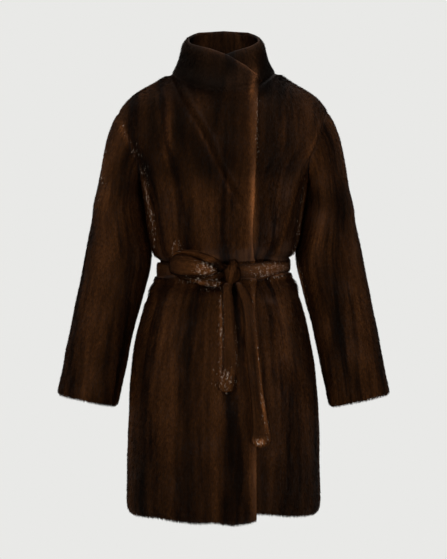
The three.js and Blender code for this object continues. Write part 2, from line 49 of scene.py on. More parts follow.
FUR_TURNED_IN = 18  # how far the fur goes on inside a free edge
LINING_FROM = 26  # how far in from a free edge the lining starts
HAIR_LENGTH = 11
HAIR_WIDTH = 1.05
HAIR_RISE = 13  # degrees between hair and skin
COLLAR_HAIR_RISE = 17
HAIR_SPREAD = {"turn": 6, "lift": 3, "roll": 28}  # how much single hairs differ, in degrees
HAIR_ROOT = 0.6  # how far below the skin's face they start
STRAP_HAIR = {"length": 8, "rise": 14, "width": 0.85}
KNOT_HAIR = {"length": 7, "rise": 14, "width": 0.9}
PELT_UNIT = 100  # what one unit down the Pelt map stands for
PELT_STRIP = {"body": 75, "sleeve": 110, "collar": 45, "strap": 40}  # and one across it, about a strip
PELT_BAND = (-420, -350)  # where the strips change from their angles below the belt to those above
LAP = 9.8  # how far in the left front lies under the right one
SEAM = 0.12  # the gap between two skins at a seam
SQUARENESS = 0.05  # how much the rings bulge between the front and the sides
WAIST = 10  # this ring and the next three are row numbers of LEVELS
UNDERARM = 15  # the armhole's lowest ring
SHOULDER = 19  # and its highest
NECK = 24
STRAIGHT_FROM = 17  # the ring above which the pelt strips run straight up
LOWEST_RING_STEP = 22  # millimetres between the body's two lowest rings
ARMHOLE_HALF_ANGLE = 33
CUFF = 7  # this ring's number on a sleeve, where the armhole is 0 and the rows of SLEEVE_RINGS follow
CUFF_RING_STEP = 51  # millimetres between the cuff and the ring above it
ARMHOLE_HEADING = (53, -82.5)  # how a sleeve leaves the armhole, outwards and up, at its front and back
HEADING_TURN = (47, 35, -37.5)  # what changes in that on the way round to its top
BREAK_Z = -276  # where the lapel's fold starts
LAPEL_LIFT = 6  # how far the lapel stands off the front
LAPEL_STEP = 4  # and over how wide a step
BELT_HALF_HEIGHT = 17
BELT_THICKNESS = 10
BELT_STAND_OFF = 1.9  # the gap between the coat and the belt
BELT_SIDE = 3  # how much further it stands off at the coat's sides
BELT_DRAWN = 3.5  # how far the belt is drawn up and in at the wearer's left side
BELT_LOW = 7  # how far its lower edge hangs down beside the knot
WAIST_FILL = 6  # how far the coat swells out against the belt's upper edge
SKIRT_FILL = 11  # and against its lower one
HIP_FILL = 5  # the same, more at the sides
BELT_ROLL = 4.5  # the short roll of fur that rises beside both of the belt's edges
SIDE_FILL = 5.5  # how far the coat's sides and the sleeves swell towards each other under the arms
CUFF_ROLL = 6  # how far the sleeves' ends round inwards
RIM_ROLL = 11  # how far the collar's rim rolls inwards
COLLAR_RISE = 1  # how far the collar's skin reaches above the solid's edge
PHOTO_HEIGHT = 559  # pixels, as PHOTO_FOCUS is
PHOTO_FOCUS = 2250
CAMERA_PLACE = (0, -4.5, -0.409)  # metres, as the floor's values are
FLOOR_Z = -1.5
FLOOR_HALF = 3


def table(names, rows):
    """A table with named columns."""
    values = np.array(rows, float)
    return {name: values[:, i] for i, name in enumerate(names.split())}


# Rings of the coat from the hem to the neck seam. drop is how much lower the front is, rise how much
# higher the back and lean how much higher the +X side.
LEVELS = table("z wide front back drop rise lean", [
    (-880, 187, 133, 142, 2, 0, 0),
    (-858, 195, 140, 149, 2, 0, 0),
    (-790, 194, 139, 148, 0, 0, 0),
    (-700, 192, 137, 146, 0, 0, 0),
    (-610, 187, 134, 143, 0, 0, 0),
    (-530, 174, 129, 136, 2, 0, 1),
    (-465, 158, 122, 122, 5, 0, 3),
    (-442, 149, 117, 113, 7, 0, 4),
    (-424, 141, 112, 107, 8, 0, 4),
    (-409, 122.5, 103, 92, 8, 0, 4),
    (-387, 120, 101, 90, 8, 0, 4),
    (-365, 122.5, 103, 92, 8, 0, 4),
    (-351, 138, 113, 102, 7, 0, 3),
    (-310, 149, 126, 108, 4, 0, 2),
    (-265, 157, 136, 112, 1, 0, 0),
    (-218, 167, 141, 117, 0, 0, 0),
    (-180, 185, 141, 119, 0, 0, 0),
    (-140, 212, 138, 119, 0, 0, 0),
    (-103, 216, 133, 115, 0, 0, 0),
    (-72, 208, 128, 110, 2, 0, 0),
    (-51, 193, 123, 105, 8, 0, 0),
    (-35, 174, 120, 101, 17, 1, 0),
    (-19, 147, 117, 97, 27, 3, 0),
    (-6, 121, 115, 93, 36, 6, 0),
    (1, 98, 113, 88, 41, 9, 0),
])
# The right front's edge, the lapel's fold, and how much higher each front's hem is
EDGE = table("z x", [(-900, 69), (-430, 66), (-330, 61), (-190, 66), (-60, 70), (60, 66)])
ROLL = table("z x", [
    (-420, 0), (BREAK_Z, 46), (-234, 20), (-181, -10), (-124, -34), (-75, -64), (-14, -95),
])
HEM = table("x over under", [
    (-190, 1, 0),
    (-130, 1, 0),
    (-90, -4, 0),
    (-55, -7, 4),
    (-20, -5, 5),
    (22, -10, 6),
    (50, -7, 7),
    (70, 0, 7),
    (150, 0, 2),
    (190, 0, 1),
])
# Folds that the belt draws in, then small gathers that only the skins have. up is 1 above the belt and -1
# below it, start and end are degrees round the coat, at the belt and as far from it as the fold reaches.
FOLDS = [
    (1, 40, 56, 210, 8, 6),
    (1, 54, 66, 190, 6, -6),
    (1, 72, 78, 110, 8, 3.5),
    (1, 6, 4, 90, 9, 3),
    (1, -28, -22, 120, 8, 4),
    (1, -50, -44, 150, 8, 5),
    (1, -66, -58, 150, 7, -5),
    (1, -80, -84, 100, 8, 3),
    (-1, 33, 48, 260, 9, 6),
    (-1, 46, 64, 240, 6.5, -7),
    (-1, 66, 78, 210, 8, 5),
    (-1, 12, 8, 430, 6, 3),
    (-1, -12, -6, 300, 8, -3),
    (-1, -34, -24, 200, 6, -5),
    (-1, -48, -38, 440, 8, 5),
    (-1, -66, -62, 260, 8, -4),
    (-1, -82, -80, 230, 8, 5),
]
BACK_FOLDS = 9
for i in range(BACK_FOLDS):
    start = 104 + 152 / (BACK_FOLDS - 1) * i
    longer = 1 + 0.18 * ((i * 5) % 4 - 1.5)
    rise = -4.5 if i % 2 else 4
    FOLDS.append((1, start, 180 + (start - 180) * 0.9, 150 * longer, 7, rise))
    FOLDS.append((-1, start, 180 + (start - 180) * 0.94, 300 * longer, 7.5, rise))
GATHERS = 38
for i in range(GATHERS):
    start = 360 / GATHERS * (i + 0.35 * math.sin(2.4 * i)) - 174
    reach = 62 + 30 * math.sin(1.7 * i)
    FOLDS.append((1 if i % 2 else -1, start, start * 1.02, reach, 2.6, 1.5 if i % 4 < 2 else -1.7))
FOLDS = table("up start end reach half rise", FOLDS)

# Cross sections down the sleeve of the +X side
SLEEVE_RINGS = table("x y z wide deep tilt", [
    (209, 10, -250, 49, 76, 16),
    (210.5, 9, -305, 57, 74, 13),
    (211.5, 6, -363, 66.5, 70, 12),
    (228, 0, -440, 65, 66, 12),
    (245, -6, -520, 64.5, 63, 12),
    (261, -12, -600, 64, 61, 12),
    (271, -14, -651, 63, 60, 12),
    (275.5, -15, -670, 56, 54, 12),
])
# Soft folds on each sleeve, then shallower ones that only the skins have. around and turn are degrees round
# the sleeve, top and bottom numbers of its rings.
SLEEVE_FOLDS = table("side around turn top bottom half rise", [
    (-1, 60, 18, 0.4, 5.2, 17, 4),
    (-1, 118, -14, 1, 4, 16, -4),
    (-1, 250, 10, 1.2, 5, 20, 4),
    (1, 78, 22, 0.4, 5.6, 16, -4),
    (1, 120, -8, 0.8, 4.6, 17, 4),
    (1, 255, -12, 1, 5, 20, 4),
    (-1, 95, 10, 2.6, 6.4, 9, -1.6),
    (-1, 170, -12, 0.6, 3.2, 10, 1.8),
    (-1, 20, 8, 1.8, 5.8, 11, -1.6),
    (-1, 300, 8, 1, 4.2, 12, -1.8),
    (1, 62, -10, 2.2, 6.2, 9, 1.6),
    (1, 168, 12, 0.6, 3.4, 10, -1.8),
    (1, 14, 8, 1.6, 5.4, 11, 1.6),
    (1, 305, -8, 1, 4.4, 12, -1.8),
])
# The collar's top, and the height of its rim by degrees from the middle of the back
COLLAR_TOP = {"z": 97, "wide": 73, "front": 68, "back": 84}
COLLAR_EDGE = table("angle z", [
    (0, 97), (45, 94), (90, 80), (125, 62), (161, 48), (188, 33), (211, 13), (219, -1), (224, -16),
])
# The bow's loop from the knot over its top, round its far end and back below, the fold seen inside it and
# the tuft under it. tilt is 0 where the strap's face shows and 90 where only its edge does.
BOW_LOOP = table("x z half out tilt", [
    (-2, -391, 8, 22, 20),
    (-12, -377, 9, 28, 45),
    (-30, -366, 11, 33, 60),
    (-52, -359, 12, 33, 65),
    (-72, -361, 12, 30, 58),
    (-81, -373, 12, 26, 45),
    (-83, -388, 12, 24, 50),
    (-74, -401, 11, 24, 66),
    (-56, -406, 10, 24, 70),
    (-38, -409, 9, 25, 60),
    (-18, -406, 9, 24, 30),
    (-5, -400, 8, 22, 20),
])
BOW_FOLD = table("x z half out tilt", [
    (-84, -381, 15, 32, 0),
    (-73, -381, 21, 41, 0),
    (-58, -383, 22, 42, 4),
    (-43, -386, 18, 35, 8),
    (-28, -390, 14, 20, 8),
    (-12, -394, 11, 14, 0),
])
BOW_TUFT = table("x z half out tilt", [
    (-70, -404, 4, 24, 10),
    (-48, -411, 5, 27, 10),
    (-30, -416, 7, 28, 5),
    (-16, -418, 8, 27, 0),
    (-8, -416, 6, 22, 0),
])
# The turn of the strap that holds the knot
KNOT_TURN = table("x z half out tilt", [
    (17, -374, 7, 20, 0),
    (17, -380, 8, 31, 0),
    (16, -390, 8, 39, 0),
    (14, -400, 7.5, 39.5, 0),
    (12, -411, 7, 33, 0),
    (11, -418, 6, 22, 0),
])
SHORT_END = table("x z half out", [
    (8, -415.2, 10, 22),
    (7, -430, 11, 15),
    (9, -462, 13, 6),
    (12, -520, 15, 4.2),
    (12, -580, 15.5, 4.2),
    (7, -600, 18, 4.2),
    (5, -613, 19, 4.2),
    (5, -623, 16, 4.2),
])
LONG_END = table("x z half out", [
    (25, -414.5, 8, 22),
    (35, -431, 12, 15),
    (47, -464, 14, 6),
    (53, -520, 14.5, 4.2),
    (59, -584, 14.5, 4.2),
    (67, -650, 16, 4.2),
    (72, -698, 19.5, 4.2),
    (72, -718, 23, 4.2),
    (72, -730, 19, 4.2),
])
STRAP_HALF_THICKNESS = 4.5
KNOT = {"x": 15, "z": -397, "wide": 19, "deep": 13, "high": 19.5, "out": 25, "grooves": 2, "groove": 0.11}

# The middles of the darker lines down the pelt strips, as angles round the body, above and below the belt
STRIPS = table("strip above below", [
    (-7, -208, -206),
    (-6, -178, -178),
    (-5, -148, -148),
    (-4, -119, -119),
    (-3, -86, -84),
    (-2, -54, -52),
    (-1, -32, -20),
    (0, 2, 7),
    (1, 37, 38),
    (2, 68, 67),
    (3, 96, 96),
    (4, 124, 124),
    (5, 152, 154),
    (6, 182, 182),
    (7, 210, 210),
    (8, 240, 240),
    (9, 272, 272),
    (10, 300, 300),
])
# The same on each sleeve, as angles round its top; lower down they turn on by SLEEVE_TWIST
SLEEVE_STRIPS = table("strip right left", [
    (-1, -90, -96),
    (0, 5, -12),
    (1, 112, 72),
    (2, 190, 152),
    (3, 270, 264),
    (4, 365, 348),
    (5, 472, 432),
])
SLEEVE_TWIST = 33
# The joins across the strips, and how far up from them the fur is darker
BODY_JOIN = -200
SLEEVE_JOINS = {-1: -236, 1: -262}
JOIN_REACH = 42

# The depths between which a patch of tone fades from its whole in front to its share behind
FRONT_BEGINS = -5
BACK_BEGINS = 25
# Where the fur is lighter or darker than its strip. This is partly the pelts' own tone and partly painted
# light: painted shade beside the lapel's fold, under the collar, between the belt's ends and in the bow's
# hollow, and painted highlights along the lapel's fold, the front edges, the sleeves' rims and on the long
# end's tip. The columns are the middle, the half width and the half length, the degrees that it leans, the
# change of tone, and how much of that shows at the same place behind
TONES_AND_PAINTED_LIGHT = table("x z wide long lean tone behind", [
    (-110, -115, 8, 60, 0, 1.5, 0.8),
    (-139, -90, 10, 60, 0, -0.6, 0.8),
    (-85, -100, 9, 62, 4, -0.8, 0.8),
    (-145, -140, 16, 68, 0, -1.1, 0.6),
    (-80, -130, 24, 60, 0, -0.4, 0.6),
    (-50, -155, 20, 62, 27, -0.9, 0.2),
    (-19, -169, 4.5, 88, 27, 1.2, 0),
    (-30, -205, 60, 45, 0, -0.2, 0.6),
    (-44, -52, 12, 24, 0, 0.35, 0.2),
    (16, -66, 14, 20, 0, -0.6, 0),
    (15, -135, 12, 60, 0, -0.7, 0.8),
    (-62, 5, 34, 50, 10, -2.0, 0.3),
    (12, 2, 38, 45, 0, -0.4, 0),
    (58, -16, 7, 36, -8, 1.5, 0),
    (79, 5, 15, 48, 0, -2.0, 0),
    (-136, -64, 22, 18, 0, -0.4, 0.5),
    (-15, 45, 62, 55, 0, -0.3, 0),
    (-8, -100, 78, 75, 0, -0.55, 0),
    (30, -10, 24, 35, 0, 0.3, 0),
    (-82, 50, 16, 45, 0, -0.5, 0.6),
    (92, 15, 20, 62, 0, -1.2, 0.6),
    (56, -175, 9, 150, 0, 0.75, 0),
    (90, -120, 24, 85, 0, -0.9, 0.8),
    (116, -115, 6, 60, 0, 0.5, 0.8),
    (135, -150, 9, 60, 0, -0.4, 0.8),
    (168, -195, 9, 50, 0, 0.35, 0.8),
    (102, -290, 28, 70, 0, 0.25, 0.6),
    (91, -338, 7, 40, -30, 0.5, 0.3),
    (-30, -235, 80, 30, 0, 0.2, 0.8),
    (-45, -290, 75, 60, 0, 0.25, 0.8),
    (-92, -345, 9, 18, 0, 0.8, 0),
    (-125, -503, 14, 50, 0, 0.35, 0.8),
    (112, -500, 13, 70, 5, 0.7, 0.8),
    (141, -540, 7, 45, 18, -0.5, 0.8),
    (0, -850, 400, 150, 0, -0.5, 1),
    (-158, -710, 11, 190, 0, -0.7, 1),
    (-116, -760, 14, 130, 0, -0.3, 1),
    (-70, -680, 13, 240, 0, -0.8, 1),
    (15, -760, 11, 150, 0, -0.8, 1),
    (77, -800, 8, 60, 0, -1.0, 0.5),
    (139, -700, 12, 200, 0, -0.6, 1),
    (-13, -740, 14, 160, 0, 0.2, 1),
    (56, -790, 10, 90, 0, 0.7, 1),
    (118, -720, 13, 150, 0, 0.2, 1),
    (-65, -290, 9, 55, 0, -0.7, 0.5),
    (-119, -290, 8, 50, 0, -0.5, 0.5),
    (60, -285, 6, 65, 0, 0.9, 0),
    (74, -290, 8, 80, 0, -0.7, 0),
    (-240, -600, 16, 90, -6, -0.6, 0.8),
    (213, -555, 10, 90, -6, -0.9, 0.8),
    (200, -420, 22, 65, -5, -0.6, 0.8),
    (-147, -270, 8, 85, 8.7, 0.8, 0.2),
    (153, -275, 5, 70, -9, 0.9, 0.2),
    (-60, -359, 24, 7, 0, 1.1, 0),
    (-22, -370, 13, 8, 0, 1.1, 0),
    (-50, -414, 18, 4, 0, 0.8, 0),
    (-10, -387, 8, 11, 0, -1.1, 0),
    (-190, -740, 7, 140, 0, 0.5, 1),
    (-211, -320, 16, 60, -15, 0.35, 0.8),
    (-190, -440, 12, 150, -6, -0.45, 0.8),
    (-248, -552, 20, 70, -8, 0.2, 0.8),
    (-227, -244, 9, 35, -6, 0.6, 0.3),
    (-238, -193, 7, 60, -5, 0.8, 0.3),
    (227, -525, 9, 110, 2, -0.7, 0.8),
    (188, -317, 13, 60, 4, 0.35, 0.8),
    (262, -480, 16, 120, 5, 0.25, 0.8),
    (228, -265, 14, 50, 5, -0.6, 0.8),
    (-184, -135, 6, 52, 22, 0.9, 0.5),
    (179, -130, 6, 55, -18, 0.9, 0.5),
    (71, -721, 12, 8, 0, 2.1, 0),
    (10, -520, 12, 90, 0, -0.15, 0),
    (-4, -513, 4, 85, 0, 1.4, 0),
    (0, -650, 150, 230, 0, 0.1, 1),
    (25, -535, 2.6, 55, 1, 0.9, 0),
    (5, -602, 16, 23, 0, 0.8, 0),
    (40, -530, 7, 75, 4, 0.5, 0),
    (58, -560, 12, 120, 6, -0.35, 0),
    (58, -546, 4, 95, 6, -0.5, 0),
    (44, -560, 3, 110, 6.5, 0.7, 0),
    (66, -540, 3, 115, 5.5, 1.5, 0),
    (80, -672, 3.5, 40, 9, 1.3, 0),
    (158, -430, 5, 75, 12, 2.5, 0),
    (-287, -450, 6, 100, -12, 0.5, 0.5),
    (28, -500, 4, 90, 4, -0.9, 0),
    (-112, -387, 20, 17, 0, -0.3, 0),
    (102, -390, 40, 16, 0, 1.0, 0),
    (-108, -640, 60, 170, 0, 0.2, 0),
    (125, -610, 55, 160, 0, 0.22, 0),
    (-52, -383, 34, 20, 0, 0.65, 0),
    (-38, -388, 18, 13, 0, 0.6, 0),
    (14, -392, 4, 14, 0, 0.8, 0),
    (-12, -396, 9, 16, 0, -1.3, 0),
])
# Where painted glints go: hairs given pale tips that stand in for the highlights sparkling on the fur. A
# share over 1 makes up for the clumps that they come in.
GLINTS = table("x z wide long lean share", [
    (-183, -138, 5, 52, 22, 0.07),
    (-239, -193, 5, 55, -5, 0.2),
    (-147, -265, 6, 85, 8.7, 0.5),
    (152, -285, 4, 60, -9, 0.4),
    (157, -430, 4, 75, 12, 1.4),
    (65, -105, 3, 60, 0, 0.3),
    (-91, -345, 8, 14, 0, 0.45),
    (84, -391, 24, 12, 0, 1.0),
    (120, -383, 18, 8, 0, 1.0),
    (-38, -388, 18, 14, 0, 1.0),
    (-22, -418, 13, 9, 0, 0.9),
    (-62, -409, 20, 5, 3, 0.5),
    (-4, -513, 4, 80, 0, 0.4),
    (25, -535, 3, 50, 1, 0.3),
    (6, -600, 13, 20, 0, 0.45),
    (66, -540, 3, 110, 5.5, 0.12),
    (71, -721, 8, 6, 0, 1.0),
    (80, -672, 3.5, 40, 9, 0.3),
])
random = np.random.default_rng(1207)


# Numbers and vectors
def smooth(x, low, high):
    """From 0 at low to 1 at high, level at both ends."""
    t = np.clip((x - low) / (high - low), 0, 1)
    return t * t * (3 - 2 * t)


def bell(x, reach):
    """1 at 0, and almost nothing from twice the reach on."""
    return np.exp(-((x / reach) ** 2))


def unit(v):
    return v / np.maximum(np.linalg.norm(v, axis=-1, keepdims=True), 1e-9)


def square_to(v, axis):
    """The direction nearest to v that is square to an axis."""
    return unit(v - axis * np.sum(v * axis, -1, keepdims=True))


def rounding(edge, reach, share):
    """From 0 at reach from an edge up to the edge, along that share of a quarter circle."""
    x = np.clip(1 - edge / reach, 0, 1) * share
    return 1 - np.sqrt(1 - x ** 2)


def point(x, y, z):
    return np.stack(np.broadcast_arrays(*(np.asarray(value, float) for value in (x, y, z))), -1)


def between(rows, t):
    """A table's columns at rows t, on a smooth curve through its rows."""
    t = np.asarray(t, float)
    last = len(next(iter(rows.values()))) - 1
    i = np.clip(np.floor(t).astype(int), 0, last - 1)
    f = t - i
    made = {}
    for name, column in rows.items():
        a, b, c, d = (column[np.clip(i + k, 0, last)] for k in (-1, 0, 1, 2))
        made[name] = b + 0.5 * f * (c - a + f * (2 * a - 5 * b + 4 * c - d + f * (3 * (b - c) + d - a)))
    return made


def outward(surface, a, b):
    """The outward normal of a surface whose first number runs up and second to the viewer's right."""
    step = 1e-3
    up = surface(a + step, b) - surface(a - step, b)
    across = surface(a, b + step) - surface(a, b - step)
    return unit(np.cross(across, up))


def along_rows(points, axis):
    """The distance from the first point, down a grid or across it."""
    steps = np.linalg.norm(np.diff(points, axis=axis), axis=-1)
    first = np.zeros_like(np.take(steps, [0], axis=axis))
    return np.cumsum(np.concatenate([first, steps], axis=axis), axis=axis)


def waves(points, size, seed):
    """A smooth field over space, mostly from -1 to 1, with waves of about that size in millimetres."""
    draw = np.random.default_rng(seed)
    total = np.zeros(points.shape[:-1])
    for _ in range(7):
        heading = unit(draw.normal(size=3))
        pitch = size * draw.uniform(0.7, 1.5)
        total += np.sin(points @ heading * 2 * math.pi / pitch + draw.uniform(0, 6.3))
    return total / 3.2


def patches_at(rows, place, key):
    """The sum of a table's soft patches over the front, and over the back of those that show there."""
    x, y, z = place[..., 0], place[..., 1], place[..., 2]
    ahead = smooth(-y, -BACK_BEGINS, -FRONT_BEGINS)
    total = np.zeros(x.shape)
    for row in zip(*rows.values()):
        row = dict(zip(rows, row))
        off = x - row["x"] + math.tan(math.radians(row["lean"])) * (z - row["z"])
        near = np.exp(-((off / row["wide"]) ** 2) - ((z - row["z"]) / row["long"]) ** 4)
        total += row[key] * near * (ahead + (1 - ahead) * row.get("behind", 0))
    return total


def join_tone(place, at):
    """Fur that darkens towards a join from above and starts lighter below it."""
    above = place[..., 2] - at - 11 * waves(place, size=90, seed=21)
    return -0.4 * bell(np.maximum(above, 0), JOIN_REACH) * smooth(above, -9, 6)


# The coat's form
def ring_point(angle, wide, front, back, z):
    """A place on a ring with the front at angle 0 and +X at a right angle."""
    s, c = np.sin(angle), np.cos(angle)
    full = 1 + SQUARENESS * np.sin(2 * angle) ** 2
    return point(wide * s * full, np.where(c > 0, -front, -back) * c * full, z)


def form(level, angle):
    """The solids' outer face at a ring's number, which can be between two rings."""
    ring = between(LEVELS, level)
    s, c = np.sin(angle), np.cos(angle)
    z = ring["z"] - ring["drop"] * np.maximum(c, 0) ** 2 + ring["rise"] * np.maximum(-c, 0) ** 2
    return ring_point(angle, ring["wide"], ring["front"], ring["back"], z + ring["lean"] * s)


def angle_at(level, x):
    """The angle at which a level's ring is x from the middle, on the front."""
    level, x = np.broadcast_arrays(np.asarray(level, float), np.asarray(x, float))
    low, high = np.full(level.shape, -math.pi / 2), np.full(level.shape, math.pi / 2)
    for _ in range(24):
        middle = (low + high) / 2
        short = form(level, middle)[..., 0] < x
        low, high = np.where(short, middle, low), np.where(short, high, middle)
    return (low + high) / 2


def place_on_front(x, z):
    """The ring's number and the angle at which the front is at x and z."""
    low, high = 0.0, float(NECK)
    for _ in range(24):
        middle = (low + high) / 2
        angle = angle_at(middle, x)
        if form(middle, angle)[..., 2] < z:
            low = middle
        else:
            high = middle
    return (low + high) / 2, float(angle)


FINE_LEVELS = np.linspace(0, NECK, 24 * NECK + 1)
EDGE_ANGLES = angle_at(FINE_LEVELS, np.interp(form(FINE_LEVELS, 0.4)[:, 2], EDGE["z"], EDGE["x"]))
ROLL_ANGLES = np.zeros_like(FINE_LEVELS)
for _ in range(12):
    roll_x = np.interp(form(FINE_LEVELS, ROLL_ANGLES)[:, 2], ROLL["z"], ROLL["x"])
    ROLL_ANGLES = angle_at(FINE_LEVELS, roll_x)


def edge_angle(level):
    """The right front's edge."""
    return np.interp(level, FINE_LEVELS, EDGE_ANGLES)


def roll_angle(level):
    """The lapel's fold."""
    return np.interp(level, FINE_LEVELS, ROLL_ANGLES)


def fold_height(z, angle):
    """How far the folds rise from the form. They start at the belt's edges and fade away from it."""
    height = np.zeros(np.broadcast(z, angle).shape)
    for up, start, end, reach, half, rise in zip(*FOLDS.values()):
        belt_edge = LEVELS["z"][WAIST] + up * (BELT_HALF_HEIGHT + 3)
        share = up * (z - belt_edge) / reach
        middle = start + (end - start) * share
        off = (np.degrees(angle) - middle + 540) % 360 - 180
        strength = smooth(share, 0, 0.22) * (1 - smooth(share, 0.35, 1))
        height += rise * strength * bell(off, half)
    return height


def belt_low(angle):
    """How far the belt's lower edge hangs down beside the knot."""
    return BELT_LOW * bell(np.sin(angle) - 0.52, 0.26) * (np.cos(angle) > 0)


def under_arm(z):
    """1 where the sleeves lie along the coat's sides, 0 above and below."""
    return smooth(z, -385, -345) * (1 - smooth(z, -195, -165))


def lap_depth(level, angle):
    """How far the left front goes in to lie under the right one."""
    clear = edge_angle(np.minimum(level, NECK)) + math.radians(3)
    return LAP * (1 - smooth(angle, clear, clear + math.radians(25)))


def lapel_lift(level, angle, z):
    """The lapel's rise over the front, with the soft roll beside its fold."""
    across = form(level, angle)[..., 0] - form(level, roll_angle(level))[..., 0]
    along = smooth(z, BREAK_Z - 8, BREAK_Z + 60)
    roll = 1.8 * bell(across - 8, 6) - 1.6 * bell(across + 5, 6)
    return along * (LAPEL_LIFT * smooth(across, 0, LAPEL_STEP) + roll)


def belt_fill(off, up, angle):
    """How far the coat swells at off millimetres from the belt, where the belt draws it in."""
    s = np.sin(angle)
    hip = s ** 4
    above = WAIST_FILL * (1 + 0.6 * s) * bell(off, 16)
    below = (SKIRT_FILL + HIP_FILL * hip * (1 - 0.3 * s)) * bell(off, 15 + 8 * hip)
    fill = np.where(up > 0, above, below) + BELT_ROLL * bell(off, 7)
    return fill * smooth(off, -8, -2)


def stand_off(cut, level, angle):
    """How far a panel's outer face stands off the form: its folds, its swellings and the lap."""
    place = form(level, angle)
    z = place[..., 2]
    height = fold_height(z, angle) + 0.7 * waves(place, size=90, seed=5)
    up = z - LEVELS["z"][WAIST]
    drawn = 2 * BELT_DRAWN * smooth(np.sin(angle), 0.35, 1)
    off = np.where(up > 0, up, -up + drawn - belt_low(angle)) - BELT_HALF_HEIGHT
    height = height + belt_fill(off, up, angle)
    side = under_arm(z) * np.abs(np.sin(angle)) ** 8
    height = height + SIDE_FILL * (1 + 0.4 * np.sin(angle)) * side
    if cut == "over":
        height = height + lapel_lift(level, angle, z)
    if cut == "under":
        height = height - lap_depth(level, angle)
    return height


def armhole_level(turn):
    """The ring's number along the armhole, whose top is at turn 0."""
    return UNDERARM + (SHOULDER - UNDERARM) * (1 + np.cos(turn)) / 2


def side_gap(level):
    """Half the angle that a panel leaves free at its side: the seam's, and the armhole's above it."""
    seam = SEAM / 2 / form(level, math.pi / 2)[..., 0]
    share = np.clip((level - UNDERARM) / (SHOULDER - UNDERARM), 0, 1)
    return np.maximum(seam, math.radians(ARMHOLE_HALF_ANGLE) * 2 * np.sqrt(share * (1 - share)))


def neck_mitre(angle):
    """The way out at the neck seam, half between the body's and the collar's, long enough for both."""
    body = outward(form, NECK - 1e-2, angle)
    stand = outward(collar_form, 0.02, angle)
    middle = unit(body + stand)
    return middle / np.maximum(np.sum(middle * stand, -1, keepdims=True), 0.6)


def collar_form(height, angle):
    """The collar's outer face, from the neck seam at height 0 to the collar's top at 1."""
    foot = form(NECK, angle)
    return foot + (ring_point(angle, **COLLAR_TOP) - foot) * np.asarray(height)[..., None]


# Grids of the skins: the hair tips' place and outward normal, the distance to the nearest free edge, the
# Pelt map with how wide its strips are, and the tone, which carries painted light and shade besides the
# fur's own tone
EDGE_STEPS = np.array([0, 0.35, 1, 2.2, 4.6])


def body_levels():
    """The ring's number of each of a panel's rows, closer at the hem and the armhole."""
    hem = EDGE_STEPS / LOWEST_RING_STEP
    below = [hem]
    for level in range(UNDERARM):
        count = max(int((LEVELS["z"][level + 1] - LEVELS["z"][level]) / 10), 3)
        below.append(np.linspace(level, level + 1, count, endpoint=False))
    below = np.unique(np.concatenate(below))
    turns = math.pi * (1 - np.arange(24) / 24)
    return np.concatenate([below, armhole_level(turns), np.linspace(SHOULDER, NECK, 14)])


def spread(first, last, count):
    """Even steps from one column of angles to another."""
    share = np.linspace(0, 1, count + 1)
    return first[:, None] + (last - first)[:, None] * share


def near_edge(levels, sign):
    """The angles of the columns beside a front edge, the edge's own first."""
    edge = edge_angle(levels)
    x = form(levels, edge)[:, 0]
    steps = EDGE_STEPS + EDGE_TURN
    return np.stack([sign * angle_at(levels, x - step) for step in steps], 1)


def column_angles(cut, levels):
    """The angles of a panel's columns at each of its levels."""
    gap = side_gap(levels)
    if cut == "back":
        return spread(math.pi / 2 + gap, 3 * math.pi / 2 - gap, 72)
    if cut == "over":
        roll = roll_angle(levels)
        step = angle_at(levels, form(levels, roll)[:, 0] + LAPEL_STEP)
        edge = near_edge(levels, 1)[:, ::-1]
        return np.concatenate([
            spread(-math.pi / 2 + gap, roll, 52)[:, :-1],
            spread(roll, step, 4),
            spread(step, edge[:, 0], 34)[:, 1:],
            edge[:, 1:],
        ], 1)
    edge = near_edge(levels, -1)
    return np.concatenate([edge[:, :-1], spread(edge[:, -1], math.pi / 2 - gap, 58)], 1)


def strip_angle(level, angle):
    """The degrees that a pelt strip keeps: above STRAIGHT_FROM the strips run straight up."""
    full = 1 + SQUARENESS * np.sin(2 * angle) ** 2
    held = np.where(level > STRAIGHT_FROM, LEVELS["wide"][STRAIGHT_FROM], between(LEVELS, level)["wide"])
    s = np.clip(form(level, angle)[..., 0] / (held * full), -1, 1)
    made = np.degrees(np.arctan2(s, np.sign(np.cos(angle) + 1e-9) * np.sqrt(1 - s * s)))
    return np.where((np.degrees(angle) > 90) & (made < 0), made + 360, made)


def body_grid(cut):
    """cut is back, over for the right front or under for the left one."""
    levels = body_levels()
    angles = column_angles(cut, levels)
    level = np.broadcast_to(levels[:, None], angles.shape)
    normal = outward(form, level, angles)
    normal[-1] = neck_mitre(angles[-1])
    place = form(level, angles)
    hem = along_rows(place, 0)
    place = place + normal * stand_off(cut, level, angles)[..., None]
    to_neck = hem[-1:] - hem
    place = place + neck_mitre(angles[-1]) * (NECK_FILL * bell(to_neck, 20))[..., None]
    if cut != "back":
        shift = np.interp(form(0 * level, angles)[..., 0], HEM["x"], HEM[cut])
        place[..., 2] += shift * np.maximum(0, 1 - level / 2.5) ** 2
    place[..., 2] += HEM_TURN * (1 - smooth(hem, 0, 70))
    # Painted shade: the fur is darker just below the neck seam.
    tone = join_tone(place, BODY_JOIN) - 0.3 * bell(to_neck, 14)
    edge = hem
    if cut != "back":
        columns = along_rows(place, 1)
        side = columns if cut == "under" else columns[:, -1:] - columns
        edge = np.minimum(hem, side)
        # Painted highlight: the fur is lighter along the fronts' free edges.
        tone = tone + 0.55 * bell(side, 9)
    degrees = strip_angle(level, angles)
    above = np.interp(degrees, STRIPS["above"], STRIPS["strip"])
    below = np.interp(degrees, STRIPS["below"], STRIPS["strip"])
    share = smooth(place[..., 2], *PELT_BAND)
    strips = np.stack([below + (above - below) * share, place[..., 2] / PELT_UNIT], -1)
    return {"place": place, "normal": normal, "edge": edge, "pelt": strips, "strip": PELT_STRIP["body"],
            "tone": tone}


